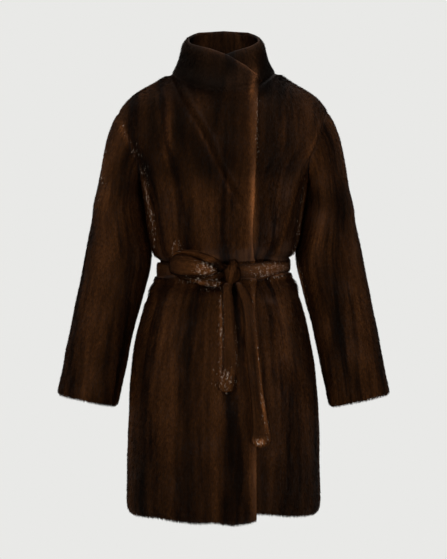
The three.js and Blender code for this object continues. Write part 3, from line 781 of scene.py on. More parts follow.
def hermite(a, b, going, coming, f):
    """The curve from a to b that leaves and arrives with those headings, at the share f."""
    f2, f3 = f * f, f * f * f
    return (
        a * (2 * f3 - 3 * f2 + 1) + going * (f3 - 2 * f2 + f) + b * (3 * f2 - 2 * f3) + coming * (f3 - f2)
    )


def sleeve_ring(k, turn):
    """The sleeve's ring k, where the top of the arm is at turn 0 and its front at a right angle."""
    if k < 1:
        angle = math.pi / 2 - math.radians(ARMHOLE_HALF_ANGLE) * np.sin(turn)
        return form(armhole_level(turn), angle)
    ring = {name: column[min(k, CUFF + 1) - 1] for name, column in SLEEVE_RINGS.items()}
    tilt = math.radians(ring["tilt"])
    return point(
        ring["x"] + ring["wide"] * np.cos(turn) * math.cos(tilt),
        ring["y"] - ring["deep"] * np.sin(turn),
        ring["z"] + ring["wide"] * np.cos(turn) * math.sin(tilt),
    )


def sleeve_heading(k, turn):
    """How the sleeve's surface passes through ring k."""
    if k < 1:
        c, s = np.cos(turn), np.sin(turn)
        out, up = ARMHOLE_HEADING
        return point(out + HEADING_TURN[0] * c, HEADING_TURN[1] * s, up + HEADING_TURN[2] * c)
    return (sleeve_ring(k + 1, turn) - sleeve_ring(k - 1, turn)) * 0.5


def sleeve_form(along, turn):
    """The solid's outer face at a ring's number, which can be between two rings."""
    along, turn = np.broadcast_arrays(np.asarray(along, float), np.asarray(turn, float))
    made = np.zeros(along.shape + (3,))
    for k in range(CUFF + 1):
        chosen = (along >= k if k else along >= -1) & ((along < k + 1) | (k == CUFF))
        t = turn[chosen]
        made[chosen] = hermite(
            sleeve_ring(k, t),
            sleeve_ring(k + 1, t),
            sleeve_heading(k, t),
            sleeve_heading(k + 1, t),
            (along[chosen] - k)[:, None],
        )
    return made


def sleeve_grid(side):
    """side is 1 for the left sleeve, at +X, and -1 for its mirror with folds of its own."""
    end = CUFF - (HEM_TURN + EDGE_STEPS[::-1]) / CUFF_RING_STEP
    rows = np.concatenate([np.linspace(0, 1, 12)[:-1], np.linspace(1, end[0], 58)[:-1], end])
    turns = np.linspace(0, 2 * math.pi, 69)
    along, turn = np.meshgrid(rows, turns, indexing="ij")
    safe = np.maximum(along, 0.004)
    normal = -outward(lambda a, b: sleeve_form(-a, b), -safe, turn)
    place = sleeve_form(along, turn)
    height = np.zeros(along.shape)
    for where, around, twist, top, bottom, half, rise in zip(*SLEEVE_FOLDS.values()):
        if where != side:
            continue
        share = np.clip((along - top) / (bottom - top), 0, 1)
        off = (np.degrees(turn) - around - twist * (share - 0.5) + 540) % 360 - 180
        height += rise * np.sin(math.pi * share) * bell(off, half)
    height += 0.7 * waves(place, size=80, seed=7 + side) * smooth(along, 0, 0.5)
    z = place[..., 2]
    beside_waist = 0.55 * smooth(z, -500, -420) * (1 - smooth(z, -300, -260))
    height += SIDE_FILL * np.maximum(under_arm(z), beside_waist) * np.maximum(-np.cos(turn), 0) ** 4
    place = place + normal * height[..., None]
    drop = along_rows(place, 0)
    edge = drop[-1:] - drop
    place = place - normal * (CUFF_ROLL * rounding(edge, 14, 0.95))[..., None]
    own = SLEEVE_STRIPS["left" if side > 0 else "right"]
    degrees = np.degrees(turn) - SLEEVE_TWIST * np.maximum(along - 1, 0) / (CUFF - 1)
    strips = np.stack([np.interp(degrees, own, SLEEVE_STRIPS["strip"]), -drop / PELT_UNIT], -1)
    mirror = np.array([side, 1, 1])
    tone = join_tone(place, SLEEVE_JOINS[side])
    return {
        "place": place[::-1] * mirror,
        "normal": normal[::-1] * mirror,
        "edge": edge[::-1],
        "pelt": strips[::-1],
        "strip": PELT_STRIP["sleeve"],
        "wrapped": True,
        "tone": tone[::-1],
    }


def collar_grid():
    """One band from its end under the lap, round the back, to its end over the front."""
    neck = np.array([NECK], float)
    under = column_angles("under", neck)[0] - 2 * math.pi
    back = column_angles("back", neck)[0][1:] - 2 * math.pi
    over = column_angles("over", neck)[0][1:]
    angles = np.concatenate([under, back, over])
    shares = np.concatenate([np.linspace(0, 1, 26)[:-1], [0.966, 0.98, 0.992, 1]])
    share, angle = np.meshgrid(shares, angles, indexing="ij")
    edge_z = np.interp(np.abs(np.degrees(angle + math.pi)), COLLAR_EDGE["angle"], COLLAR_EDGE["z"])
    foot_z = form(NECK, angle)[..., 2] + SEAM * 2
    height = (edge_z + COLLAR_RISE - foot_z) / (COLLAR_TOP["z"] - foot_z) * share
    normal = outward(collar_form, height, angle)
    normal[0] = neck_mitre(angles)
    place = collar_form(height, angle)
    place[..., 2] += SEAM * 2
    quarter = math.pi / 2
    tucked = np.where(angle < -math.pi, lap_depth(NECK, angle + 2 * math.pi), 0)
    lift = np.where(angle > -quarter, lapel_lift(NECK, np.maximum(angle, -quarter), 0), 0)
    rows, columns = along_rows(place, 0), along_rows(place, 1)
    to_rim = rows[-1:] - rows
    to_end = columns[:, -1:] - columns
    place = place + neck_mitre(angles) * (NECK_FILL * bell(rows, 20))[..., None]
    roll = RIM_ROLL * (0.3 + 0.7 * np.abs(np.sin(angle)) ** 2) * rounding(to_rim, 2.2 * RIM_ROLL, 0.93)
    stands = 0.6 * waves(place, size=60, seed=3) * smooth(share, 0, 0.4) + lift * bell(rows, 38)
    place = place + normal * (stands - tucked - roll)[..., None]
    normal = unit(np.cross(np.gradient(place, axis=1), np.gradient(place, axis=0)))
    normal[0] = neck_mitre(angles)
    edge = np.minimum.reduce([to_rim, columns, to_end])
    degrees = strip_angle(NECK, np.where(angle < -quarter, angle + 2 * math.pi, angle))
    strips = np.interp(degrees, STRIPS["above"], STRIPS["strip"])
    strips = np.stack([strips, place[..., 2] / PELT_UNIT], -1)
    # Painted light: the collar's rim over the right front and its front end are lighter as painted
    # highlights; the rest of the collar, round the back and under the lap, and its foot at the neck seam
    # are darker as painted shade.
    over = smooth(angle, -1.6, 0.6)
    tone = (0.2 + 1.1 * over) * bell(to_rim, 10) - 0.8 * (1 - over)
    tone = np.maximum(tone, 1.3 * bell(to_end, 9))
    tone = tone - 0.3 * bell(rows, 14)
    return {"place": place, "normal": normal, "edge": edge, "pelt": strips, "strip": PELT_STRIP["collar"],
            "tone": tone}


# Straps: stations along the strap and points round it
STRAP_COLUMNS = 25
BELT_STATIONS = 190
END_STATIONS = 70


def strap_grid(stations):
    """Points round a strap with softly squared edges, from its middle, across, out, half and thick."""
    middle, across, out, half, thick = stations
    turn = np.linspace(0, 2 * math.pi, STRAP_COLUMNS)
    c, s = np.cos(turn), np.sin(turn)
    wide = np.sign(c) * np.abs(c) ** 0.6
    deep = np.sign(s) * np.abs(s) ** 0.75
    return (
        middle[:, None]
        + across[:, None] * (half[:, None] * wide)[..., None]
        + out[:, None] * (thick[:, None] * deep)[..., None]
    )


def rounded_ends(count, reach):
    """The share of its full width at each station of a strap whose ends round off over reach stations."""
    station = np.arange(count)
    return smooth(np.minimum(station + 1, count - station), 0, reach)


def belt_form(up, angle):
    """The coat's face behind the belt, where the belt's middle is at up = 0."""
    return form(WAIST, angle) + point(0, 0, up)


def belt_stations():
    """Stations of the belt, whose two ends meet behind the knot."""
    start = math.radians(7)
    gap = math.radians(1.2)
    angles = np.linspace(start - gap, start + gap - 2 * math.pi, BELT_STATIONS)
    out = outward(belt_form, 0, angles)
    stand = BELT_STAND_OFF + BELT_THICKNESS / 2 + BELT_SIDE * np.sin(angles) ** 6
    middle = belt_form(0, angles) + out * stand[:, None]
    drawn = smooth(np.sin(angles), 0.35, 1)
    low = belt_low(angles) / 2
    middle[:, 2] += BELT_DRAWN * drawn - low
    across = np.tile([0.0, 0.0, 1.0], (len(angles), 1))
    half = BELT_HALF_HEIGHT - 1.6 + 0.8 * np.sin(angles * 5 + 1) - BELT_DRAWN * drawn + low
    station = np.arange(BELT_STATIONS)
    cap = smooth(np.minimum(station, station[::-1]), -1, 3)
    return middle, across, out, half * (0.6 + 0.4 * cap), (BELT_THICKNESS / 2 - 2) * cap


def hanging_stations(rows):
    """Stations of an end of the belt, which hangs clear of the right front's folds."""
    middles, outs = [], []
    for x, z, half, away in zip(*rows.values()):
        level, angle = place_on_front(x, z)
        out = unit(outward(form, level, angle) * [1, 1, 0])
        beside = []
        for near in (x - half, x, x + half):
            near = min(near, float(np.interp(z, EDGE["z"], EDGE["x"])))
            beside.append(float(stand_off("over", *place_on_front(near, z))))
        middles.append(form(level, angle) + out * (away + max(beside)))
        outs.append(out)
    middles, outs = np.array(middles), np.array(outs)
    known = {"half": rows["half"], "ox": outs[:, 0], "oy": outs[:, 1]}
    known.update(zip(("mx", "my", "mz"), middles.T))
    made = between(known, np.linspace(0, len(outs) - 1, END_STATIONS))
    out = unit(point(made["ox"], made["oy"], 0))
    across = point(-out[:, 1], out[:, 0], 0)
    end = rounded_ends(END_STATIONS, 5)
    middle = point(made["mx"], made["my"], made["mz"])
    half = (made["half"] - 2) * (0.6 + 0.4 * end)
    return middle, across, out, half, (STRAP_HALF_THICKNESS - 1.3) * end


def tied_stations(rows, thick, upright=False):
    """Stations of a strap over the belt. upright is for one that runs up and down."""
    angles = angle_at(WAIST, rows["x"])
    away = outward(belt_form, 0, angles)
    middles = belt_form(0, angles) + away * rows["out"][:, None]
    middles[:, 2] = rows["z"]
    made = {"x": middles[:, 0], "y": middles[:, 1], "z": middles[:, 2], "half": rows["half"]}
    made.update({"tilt": rows["tilt"], "ax": away[:, 0], "ay": away[:, 1]})
    count = 14 * len(angles)
    made = between(made, np.linspace(0, len(angles) - 1, count))
    middle = point(made["x"], made["y"], made["z"])
    away = unit(point(made["ax"], made["ay"], 0))
    tilt = np.radians(made["tilt"])[:, None]
    along = unit(np.gradient(middle, axis=0))
    if upright:
        across = unit(np.cross(along, away))
    else:
        across = np.cos(tilt) * np.array([0.0, 0.0, 1.0]) + np.sin(tilt) * away
        across = square_to(across, along)
    out = np.cross(along, across)
    end = rounded_ends(count, 4)
    return middle, across, out, (made["half"] - 1.5) * (0.5 + 0.5 * end), thick * end


def knot_grid():
    """A ball with the grooves and creases of the crossing turns."""
    angle = angle_at(WAIST, KNOT["x"])
    centre = belt_form(0, angle) + outward(belt_form, 0, angle) * KNOT["out"]
    falls, turns = np.linspace(0.02, math.pi - 0.02, 40), np.linspace(0, 2 * math.pi, 61)
    fall, turn = np.meshgrid(falls, turns, indexing="ij")
    x, y, z = np.sin(fall) * np.cos(turn), -np.sin(fall) * np.sin(turn), -np.cos(fall)
    lie = np.arctan2(x, z) - 0.5
    size = 1 - KNOT["groove"] * (1 - np.abs(y)) * (1 - np.cos(2 * KNOT["grooves"] * lie)) / 2
    creases = 0.05 * np.sin(9 * x + 1.5 * z + 0.6) * smooth(-y, 0.1, 0.8)
    size = size * 0.93 + creases
    return point(
        centre[0] + KNOT["wide"] * x * size,
        centre[1] + KNOT["deep"] * y * size,
        KNOT["z"] + KNOT["high"] * z * size,
    )


def grid_normals(place):
    """The outward normals of a closed strap's or knot's grid."""
    around = np.gradient(place, axis=1)
    seam = place[:, 1] - place[:, -2]
    around[:, 0], around[:, -1] = seam, seam
    normal = unit(np.cross(around, np.gradient(place, axis=0)))
    middle = place.mean(axis=1, keepdims=True)
    facing = np.sum(normal * (place - middle), -1, keepdims=True)
    return normal * np.sign(facing.sum())


# Materials
def shader(name, **values):
    """A material, its nodes and its surface with those values."""
    material = bpy.data.materials.new(name)
    material.use_nodes = True
    tree = material.node_tree
    surface = tree.nodes["Principled BSDF"]
    for socket, value in values.items():
        surface.inputs[socket.replace("_", " ")].default_value = value
    return material, tree, surface


def node(tree, kind, inputs=(), **settings):
    """A new node. An input is a value, or another node's socket to link to."""
    made = tree.nodes.new("ShaderNode" + kind)
    for name, value in settings.items():
        setattr(made, name, value)
    for socket, value in dict(inputs).items():
        if isinstance(value, bpy.types.NodeSocket):
            tree.links.new(value, made.inputs[socket])
        else:
            made.inputs[socket].default_value = value
    return made


def math_node(tree, operation, a, b=0.0, c=0.0, clamp=False):
    made = node(tree, "Math", {0: a, 1: b, 2: c}, operation=operation)
    made.use_clamp = clamp
    return made.outputs[0]


def blend_colours(tree, share, first, second, kind="MIX"):
    """A Mix node, whose inputs 6 and 7 are its colours."""
    made = tree.nodes.new("ShaderNodeMix")
    made.data_type = "RGBA"
    made.blend_type = kind
    for socket, value in ((0, share), (6, first), (7, second)):
        if isinstance(value, bpy.types.NodeSocket):
            tree.links.new(value, made.inputs[socket])
        else:
            made.inputs[socket].default_value = value
    return made.outputs[2]


def mesh_value(tree, name):
    return node(tree, "Attribute", attribute_name=name).outputs["Fac"]


def pelt_noise(tree, stretch, scale, detail=2, **values):
    """Noise along the Pelt map, which runs across the strips and down them."""
    pelt = node(tree, "UVMap", uv_map="Pelt").outputs[0]
    place = node(tree, "Mapping", {"Vector": pelt, "Scale": stretch}).outputs[0]
    values.update({"Vector": place, "Scale": scale, "Detail": detail})
    return node(tree, "TexNoise", values).outputs["Fac"]


def add_bump(tree, surface, height, strength, distance):
    bump = node(tree, "Bump", {"Height": height, "Strength": strength, "Distance": distance})
    tree.links.new(bump.outputs[0], surface.inputs["Normal"])


def times_grey(tree, colour, share):
    grey = node(tree, "CombineColor", {0: share, 1: share, 2: share}).outputs[0]
    return blend_colours(tree, 1.0, colour, grey, "MULTIPLY")


def fur_material(name, dark, middle, light):
    """Strips with dark middles and lighter flanks, streaks, roots darkened to black as painted shade deep
    in the fur, and pale tips on the glint hairs as painted highlights.
    """
    material, tree, surface = shader(name, Roughness=0.6, Specular_IOR_Level=0.04)
    surface.inputs["Specular Tint"].default_value = (0.9, 0.55, 0.3, 1)
    colour = strip_colour(tree, dark, middle)
    # own is each hair's own tone; tip fades each blade to black at its root as painted shade, and glint
    # mixes in the pale colour as painted glints.
    lighter = math_node(tree, "MULTIPLY_ADD", mesh_value(tree, "own"), 1.1, 0.5)
    root = math_node(tree, "MULTIPLY", mesh_value(tree, "tip"), lighter)
    glint = mesh_value(tree, "glint")
    final = blend_colours(tree, glint, times_grey(tree, colour, root), light)
    tree.links.new(final, surface.inputs["Base Color"])
    return material


def strip_colour(tree, dark, middle):
    """The colour down the strips, times the tone that the mesh carries, which holds painted light and shade
    as well as the fur's own tone.
    """
    pelt = node(tree, "SeparateXYZ", {0: node(tree, "UVMap", uv_map="Pelt").outputs[0]})
    wander = math_node(tree, "SUBTRACT", pelt_noise(tree, (1, 0.22, 1), 1.1), 0.5)
    across = math_node(tree, "MULTIPLY_ADD", wander, 0.22, pelt.outputs[0])
    turn = math_node(tree, "MULTIPLY", across, 2 * math.pi)
    flank = math_node(tree, "MULTIPLY_ADD", math_node(tree, "COSINE", turn), -0.5, 0.5)
    tone = math_node(tree, "MULTIPLY", flank, 0.5)
    for stretch, amount in (((2.2, 0.26, 1), 0.5), ((6, 0.5, 1), 0.45), ((15, 1.4, 1), 0.35)):
        sharp = node(tree, "MapRange", {0: pelt_noise(tree, stretch, 1.3), 1: 0.32, 2: 0.68}).outputs[0]
        tone = math_node(tree, "MULTIPLY_ADD", sharp, amount, tone)
    tone = math_node(tree, "MULTIPLY_ADD", tone, 1.05, -0.5, clamp=True)
    return times_grey(tree, blend_colours(tree, tone, dark, middle), mesh_value(tree, "shade"))


def skin_material(name, dark, middle):
    """The close underfur between the hairs."""
    material, tree, surface = shader(name, Roughness=0.8, Specular_IOR_Level=0.08)
    tree.links.new(strip_colour(tree, dark, middle), surface.inputs["Base Color"])
    add_bump(tree, surface, pelt_noise(tree, (14, 5, 1), 4, 5, Roughness=0.7), 0.6, 0.002)
    return material


def lining_material():
    """A dark satin lining with a fine twill and soft creases, lighter on their ridges as painted sheen and
    darker in their hollows as painted shade.
    """
    material, tree, surface = shader("lining", Roughness=0.38, Specular_IOR_Level=0.5, Sheen_Weight=0.2)
    soft = pelt_noise(tree, (3, 0.5, 1), 2)
    pelt = node(tree, "UVMap", uv_map="Pelt").outputs[0]
    twill = node(tree, "TexWave", {"Vector": pelt, "Scale": 60, "Distortion": 0.4}, wave_type="BANDS")
    colour = blend_colours(tree, soft, (0.012, 0.006, 0.004, 1), (0.04, 0.02, 0.013, 1))
    tree.links.new(colour, surface.inputs["Base Color"])
    height = math_node(tree, "MULTIPLY_ADD", twill.outputs["Fac"], 0.04, soft)
    add_bump(tree, surface, height, 0.5, 0.004)
    return material


# Each fur's last colour is the painted glint colour of the pale hair tips.
COAT_FUR = fur_material(
    "coat_fur", (0.00467, 0.0014, 0.0004, 1), (0.056, 0.0197, 0.00587, 1), (0.85, 0.69, 0.56, 1)
)
COLLAR_FUR = fur_material(
    "collar_fur", (0.004, 0.00133, 0.000533, 1), (0.0413, 0.0157, 0.00567, 1), (0.6, 0.48, 0.38, 1)
)
SKIN = skin_material("underfur", (0.00333, 0.00113, 0.0004, 1), (0.03, 0.0113, 0.004, 1))
LINING = lining_material()


# Meshes
def new_object(name, points, loops, faces_of, uvs, materials, slots=None, attributes=(), normals=None):
    """An object of faces with faces_of corners each. Places are given in millimetres."""
    mesh = bpy.data.meshes.new(name)
    count = len(loops) // faces_of
    mesh.vertices.add(len(points))
    mesh.vertices.foreach_set("co", (points * 0.001).astype(np.float32).ravel())
    mesh.loops.add(len(loops))
    mesh.loops.foreach_set("vertex_index", loops.astype(np.int32))
    mesh.polygons.add(count)
    mesh.polygons.foreach_set("loop_start", np.arange(0, len(loops), faces_of, dtype=np.int32))
    mesh.polygons.foreach_set("use_smooth", np.ones(count, bool))
    if slots is not None:
        mesh.polygons.foreach_set("material_index", slots.astype(np.int32))
    for uv_name, uv in uvs.items():
        layer = mesh.uv_layers.new(name=uv_name)
        layer.data.foreach_set("uv", uv.astype(np.float32).ravel())
    for attribute_name, values in dict(attributes).items():
        layer = mesh.attributes.new(attribute_name, "FLOAT", "POINT")
        layer.data.foreach_set("value", values.astype(np.float32))
    for material in materials:
        mesh.materials.append(material)
    mesh.update(calc_edges=True)
    if normals is not None:
        mesh.normals_split_custom_set_from_vertices(normals.astype(np.float32))
    made = bpy.data.objects.new(name, mesh)
    bpy.context.scene.collection.objects.link(made)
    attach(made, "root")
    return made


def grid_faces(index, wrapped):
    """The faces between a grid's points, and on to its first column where the grid is wrapped."""
    after = np.roll(index, -1, axis=1)
    corners = np.stack([index[:-1], after[:-1], after[1:], index[1:]], -1)
    return (corners if wrapped else corners[:, :-1]).reshape(-1, 4)


def rim_faces(line, after, total):
    """The faces from an edge of the outer points to the same edge of the inner ones."""
    return np.stack([after, line, line + total, after + total], -1)


def fitted(uv, size, margin):
    """A map moved and scaled to that size, at a margin from the corner."""
    low, high = uv.min(0), uv.max(0)
    return (uv - low) / (high - low) * size + margin


def twisted(points, faces):
    """Each face's normal, from its first three corners, as long as it is large."""
    corners = points[faces]
    return np.cross(corners[:, 1] - corners[:, 0], corners[:, 2] - corners[:, 0])


def shell(name, node_name, grid, lined=True):
    """A skin between an outer and an inner grid, its free edges rounded, the inner face lined."""
    place, normal, edge = grid["place"], grid["normal"], grid["edge"]
    wrapped = grid.get("wrapped", False)
    near = np.clip(edge / SKIN_HALF, 0, 1)
    round_half = SKIN_HALF * np.sqrt(np.maximum(1 - (1 - near) ** 2, 0.0004))
    grid["outer"] = place - normal * (HAIR_DEPTH + SKIN_HALF - round_half)[..., None]
    grid["inner"] = place - normal * (HAIR_DEPTH + SKIN_HALF + round_half)[..., None]
    rows, columns = edge.shape
    used = columns - 1 if wrapped else columns
    total = rows * used
    index = np.arange(total).reshape(rows, used)
    outer_faces = grid_faces(index, wrapped)
    bottom, top = index[0], index[-1]
    if wrapped:
        bottom, top = np.append(bottom, bottom[0]), np.append(top, top[0])
    rims = [rim_faces(bottom[:-1], bottom[1:], total), rim_faces(top[1:], top[:-1], total)]
    if not wrapped:
        first, last = index[:, 0], index[:, -1]
        rims += [rim_faces(first[1:], first[:-1], total), rim_faces(last[:-1], last[1:], total)]
    faces = np.concatenate([outer_faces, outer_faces[:, ::-1] + total] + rims)

    def flat(values):
        """A grid's values point by point, without the column that repeats the first."""
        return values[:, :used].reshape(total, *values.shape[2:])

    points = np.concatenate([flat(grid["outer"]), flat(grid["inner"])])
    if np.sum(twisted(points, outer_faces) * flat(normal)[outer_faces[:, 0]]) < 0:
        faces = faces[:, ::-1]
    uv = np.concatenate([flat(grid["pelt"])] * 2)[faces.ravel()]
    is_inner = (faces >= total).all(axis=1)
    atlas = fitted(uv, [0.46, 0.96], 0.02)
    atlas[np.repeat(is_inner, 4)] += [0.5, 0]
    from_edge = np.concatenate([flat(edge)] * 2)[faces].min(axis=1)
    slots = (lined & is_inner & (from_edge > LINING_FROM)).astype(int)
    # shade carries the grid's tone and the table's patches, painted light and shade among them.
    shade = np.exp(np.concatenate([flat(grid["tone"])] * 2) + patches_at(TONES_AND_PAINTED_LIGHT, points, "tone"))
    made = new_object(
        name, points, faces.ravel(), 4, {"OFBake": atlas, "Pelt": uv}, [SKIN, LINING], slots,
        attributes={"shade": shade},
    )
    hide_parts(node_name)
    return made


def tube(name, node_name, place, pelt):
    """A closed strap or knot from a grid that runs round it, with its two ends closed."""
    rows, columns = place.shape[:2]
    used = columns - 1
    total = rows * used
    index = np.arange(total).reshape(rows, used)
    ends = np.stack([place[0, :used].mean(0), place[-1, :used].mean(0)])
    points = np.concatenate([place[:, :used].reshape(-1, 3), ends])
    caps = []
    for row, tip, turn in ((0, total, 1), (rows - 1, total + 1, -1)):
        ring = index[row]
        for k in range(0, used, 2):
            quad = [ring[(k + 2) % used], ring[(k + 1) % used], ring[k], tip]
            caps.append(quad if turn > 0 else quad[2::-1] + [tip])
    faces = np.concatenate([grid_faces(index, True), np.array(caps)])
    if np.sum(twisted(points, faces) * points[faces[:, 0]]) < 0:
        faces = faces[:, ::-1]
    flat = np.concatenate([pelt[:, :used].reshape(-1, 2), pelt[[0, -1], 0]])
    uv = flat[faces.ravel()]
    atlas = fitted(uv, 0.96, 0.02)
    # shade carries the table's patches, painted light and shade among them.
    shade = np.exp(patches_at(TONES_AND_PAINTED_LIGHT, points, "tone"))
    made = new_object(
        name, points, faces.ravel(), 4, {"OFBake": atlas, "Pelt": uv}, [SKIN], attributes={"shade": shade}
    )
    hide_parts(node_name)
    return made


# Hair
def bilinear(values, i, j, s, t):
    """A grid's values in its squares i, j, at the shares s down and t across."""
    if values.ndim == 3:
        s, t = s[:, None], t[:, None]
    return (
        values[i, j] * (1 - s) * (1 - t)
        + values[i, j + 1] * (1 - s) * t
        + values[i + 1, j] * s * (1 - t)
        + values[i + 1, j + 1] * s * t
    )


def patch(place, normal, nap, pelt, strip, tone, weight=None, long=None):
    """A face that hair grows on: the way it lies, how much of it there is and how long it is."""
    nap = square_to(nap, normal)
    weight = np.ones(place.shape[:2]) if weight is None else weight
    long = np.ones(place.shape[:2]) if long is None else long
    return {
        "place": place, "normal": normal, "nap": nap, "pelt": pelt, "strip": strip, "tone": tone,
        "weight": weight, "long": long,
    }


def hair_roots(patches, count):
    """Where the hairs stand, spread evenly over the patches, with what the patches say there."""
    areas = []
    for face in patches:
        p = face["place"]
        down, across = np.diff(p, axis=0)[:, :-1], np.diff(p, axis=1)[:-1]
        area = np.linalg.norm(np.cross(down, across), axis=-1)
        w = face["weight"]
        areas.append((area * (w[:-1, :-1] + w[1:, 1:]) / 2).ravel())
    shares = np.array([a.sum() for a in areas])
    roots = {key: [] for key in ("place", "normal", "nap", "pelt", "tone", "long", "strip")}
    for face, area, share in zip(patches, areas, shares):
        number = int(round(count * share / shares.sum()))
        reach = np.cumsum(area)
        pick = (np.arange(number) + random.random(number)) / number * reach[-1]
        quad = np.minimum(np.searchsorted(reach, pick), len(area) - 1)
        i, j = np.divmod(quad, face["place"].shape[1] - 1)
        s, t = random.random(number), random.random(number)
        for key in ("place", "normal", "nap", "pelt", "tone", "long"):
            roots[key].append(bilinear(face[key], i, j, s, t))
        roots["strip"].append(np.full(number, float(face["strip"])))
    return (np.concatenate(roots[key]) for key in roots)


def swung(a, b, angle):
    """The way from a towards b by an angle."""
    return a * np.cos(angle)[:, None] + b * np.sin(angle)[:, None]


def hair(name, patches, count, length=HAIR_LENGTH, rise=HAIR_RISE, width=HAIR_WIDTH, sweep=4,
         material=COAT_FUR):
    """Blades of fur, one triangle each. sweep is how many degrees whole clumps turn aside."""
    place, normal, nap, pelt, tone, shorter, strip = hair_roots(patches, count)
    normal = unit(normal)
    nap = square_to(nap, normal)
    beside = np.cross(nap, normal)
    number = len(place)
    # The table's patches add painted light and shade to each hair's tone.
    tone = tone + patches_at(TONES_AND_PAINTED_LIGHT, place, "tone")
    clump = waves(place, size=60, seed=11)
    lock = waves(place, size=9, seed=12)
    turn = np.radians(sweep * clump + 0.5 * sweep * lock + random.normal(0, HAIR_SPREAD["turn"], number))
    lift = rise * (1 + 0.12 * clump + 0.12 * lock)
    lift = np.radians(lift + random.normal(0, HAIR_SPREAD["lift"], number))
    # Glint hairs get pale tips as painted glints, in clumps.
    sparkle = 1.7 * smooth(waves(place, size=7, seed=31), -0.1, 0.45)
    glint = random.random(number) < patches_at(GLINTS, place, "share") * sparkle
    long = length * shorter * (1 + 0.08 * clump) * random.uniform(0.75, 1.15, number) * (1 - 0.4 * glint)
    way = swung(swung(nap, beside, turn), normal, lift)
    roll = random.normal(0, math.radians(HAIR_SPREAD["roll"]), number)
    flat = unit(np.cross(way, normal))
    flat = swung(flat, np.cross(way, flat), roll)
    broad = width * random.uniform(0.7, 1.3, number) / 2
    foot = place - normal * HAIR_ROOT
    points = np.stack([
        foot - flat * broad[:, None],
        foot + flat * broad[:, None],
        foot + way * long[:, None],
    ], 1)
    facing = unit(np.cross(flat, way))
    facing *= np.sign(np.sum(facing * normal, -1, keepdims=True) + 1e-9)
    facing = unit(normal * 0.62 + facing * 0.38)
    backward = np.sum(np.cross(flat, way) * normal, -1) < 0
    points[backward] = points[backward][:, [1, 0, 2]]
    step = np.stack([np.sin(turn) * long / strip, -np.cos(turn) * long / PELT_UNIT], -1)
    side = np.stack([broad / strip, 0 * broad], -1)
    uv = np.stack([pelt - side, pelt + side, pelt + step], 1).reshape(-1, 2)
    own = np.clip(0.5 + 0.2 * lock + random.normal(0, 0.2, number), 0, 1)
    glint = glint * random.uniform(0.2, 1, number) ** 1.5
    attributes = {
        "tip": np.tile([0.0, 0.0, 1.0], number),
        "own": np.repeat(own, 3),
        "glint": np.repeat(glint, 3) * np.tile([0.3, 0.3, 1], number),
        "shade": np.repeat(np.exp(tone), 3),
    }
    return new_object(
        name,
        points.reshape(-1, 3),
        np.arange(3 * number),
        3,
        {"OFBake": fitted(uv, 0.98, 0.01), "Pelt": uv},
        [material],
        attributes=attributes,
        normals=np.repeat(facing, 3, axis=0),
    )


def down_of(grid):
    """The way that hairs lie: straight down on the body and the collar, along the arm on a sleeve."""
    if grid.get("wrapped"):
        return -np.gradient(grid["place"], axis=0)
    return np.broadcast_to([0.0, 0.0, -1.0], grid["place"].shape)


def skin_patches(grid, whole_inside=False):
    """The outer face, and the inner one as far in from the free edges as the fur is turned."""
    nap = down_of(grid)
    edge = grid["edge"]
    long = 0.55 + 0.45 * smooth(edge, 2, 14)
    outer = patch(grid["outer"], grid["normal"], nap, grid["pelt"], grid["strip"], grid["tone"], long=long)
    turned_in = (1 - smooth(edge, FUR_TURNED_IN * 0.6, FUR_TURNED_IN)) * 0.8
    weight = np.ones(edge.shape) if whole_inside else turned_in
    inner = patch(
        grid["inner"], -grid["normal"], nap, grid["pelt"], grid["strip"], grid["tone"], weight, long
    )
    return [outer, inner]


# The camera and the stage
def make_camera():
    data = bpy.data.cameras.new("camera")
    data.sensor_width = 36
    data.lens = data.sensor_width * PHOTO_FOCUS / PHOTO_HEIGHT
    data.clip_end = 60
    camera = bpy.data.objects.new("camera", data)
    bpy.context.scene.collection.objects.link(camera)
    camera.location = CAMERA_PLACE
    camera.rotation_euler = (math.pi / 2, 0, 0)
    bpy.context.scene.camera = camera


def make_stage():
    """A plain pale floor, below what the camera sees; the surround is the world's own pale colour."""
    mesh = bpy.data.meshes.new("floor")
    corners = [(-1, -1), (1, -1), (1, 1), (-1, 1)]
    mesh.from_pydata([(x * FLOOR_HALF, y * FLOOR_HALF, FLOOR_Z) for x, y in corners], [], [(0, 1, 2, 3)])
    material, tree, surface = shader("paper", Roughness=0.9, Specular_IOR_Level=0.1)
    grain = node(tree, "TexNoise", {"Scale": 60, "Detail": 3})
    colour = blend_colours(tree, grain.outputs["Fac"], (0.64, 0.645, 0.635, 1), (0.66, 0.665, 0.655, 1))
    tree.links.new(colour, surface.inputs["Base Color"])
    mesh.materials.append(material)
    floor = bpy.data.objects.new("floor", mesh)
    bpy.context.scene.collection.objects.link(floor)


def area_light(name, place, target, size, power):
    """A light that faces its target, in metres and watts."""
    data = bpy.data.lights.new(name, "AREA")
    data.shape = "RECTANGLE"
    data.size, data.size_y = size
    data.energy = power
    light = bpy.data.objects.new(name, data)
    light.location = place
    heading = np.array(target, float) - np.array(place, float)
    light.rotation_euler = Vector(heading).to_track_quat("-Z", "Y").to_euler()
    bpy.context.scene.collection.objects.link(light)


def make_light():
    world = bpy.data.worlds.new("studio")
    world.use_nodes = True
    background = world.node_tree.nodes["Background"]
    background.inputs["Color"].default_value = (0.8148, 0.8148, 0.7991, 1)
    background.inputs["Strength"].default_value = 1
    bpy.context.scene.world = world
    area_light("key", (-1.8, -3.4, 1.4), (0, 0, -0.4), (1.6, 1.8), 90)
    area_light("fill", (2.2, -3.2, 0.2), (0, 0, -0.5), (1.6, 2.0), 30)
    area_light("top", (0, -0.4, 2.2), (0, 0, -0.3), (2.0, 1.4), 40)
    bpy.context.scene.view_settings.view_transform = "Standard"


make_camera()
make_stage()
make_light()

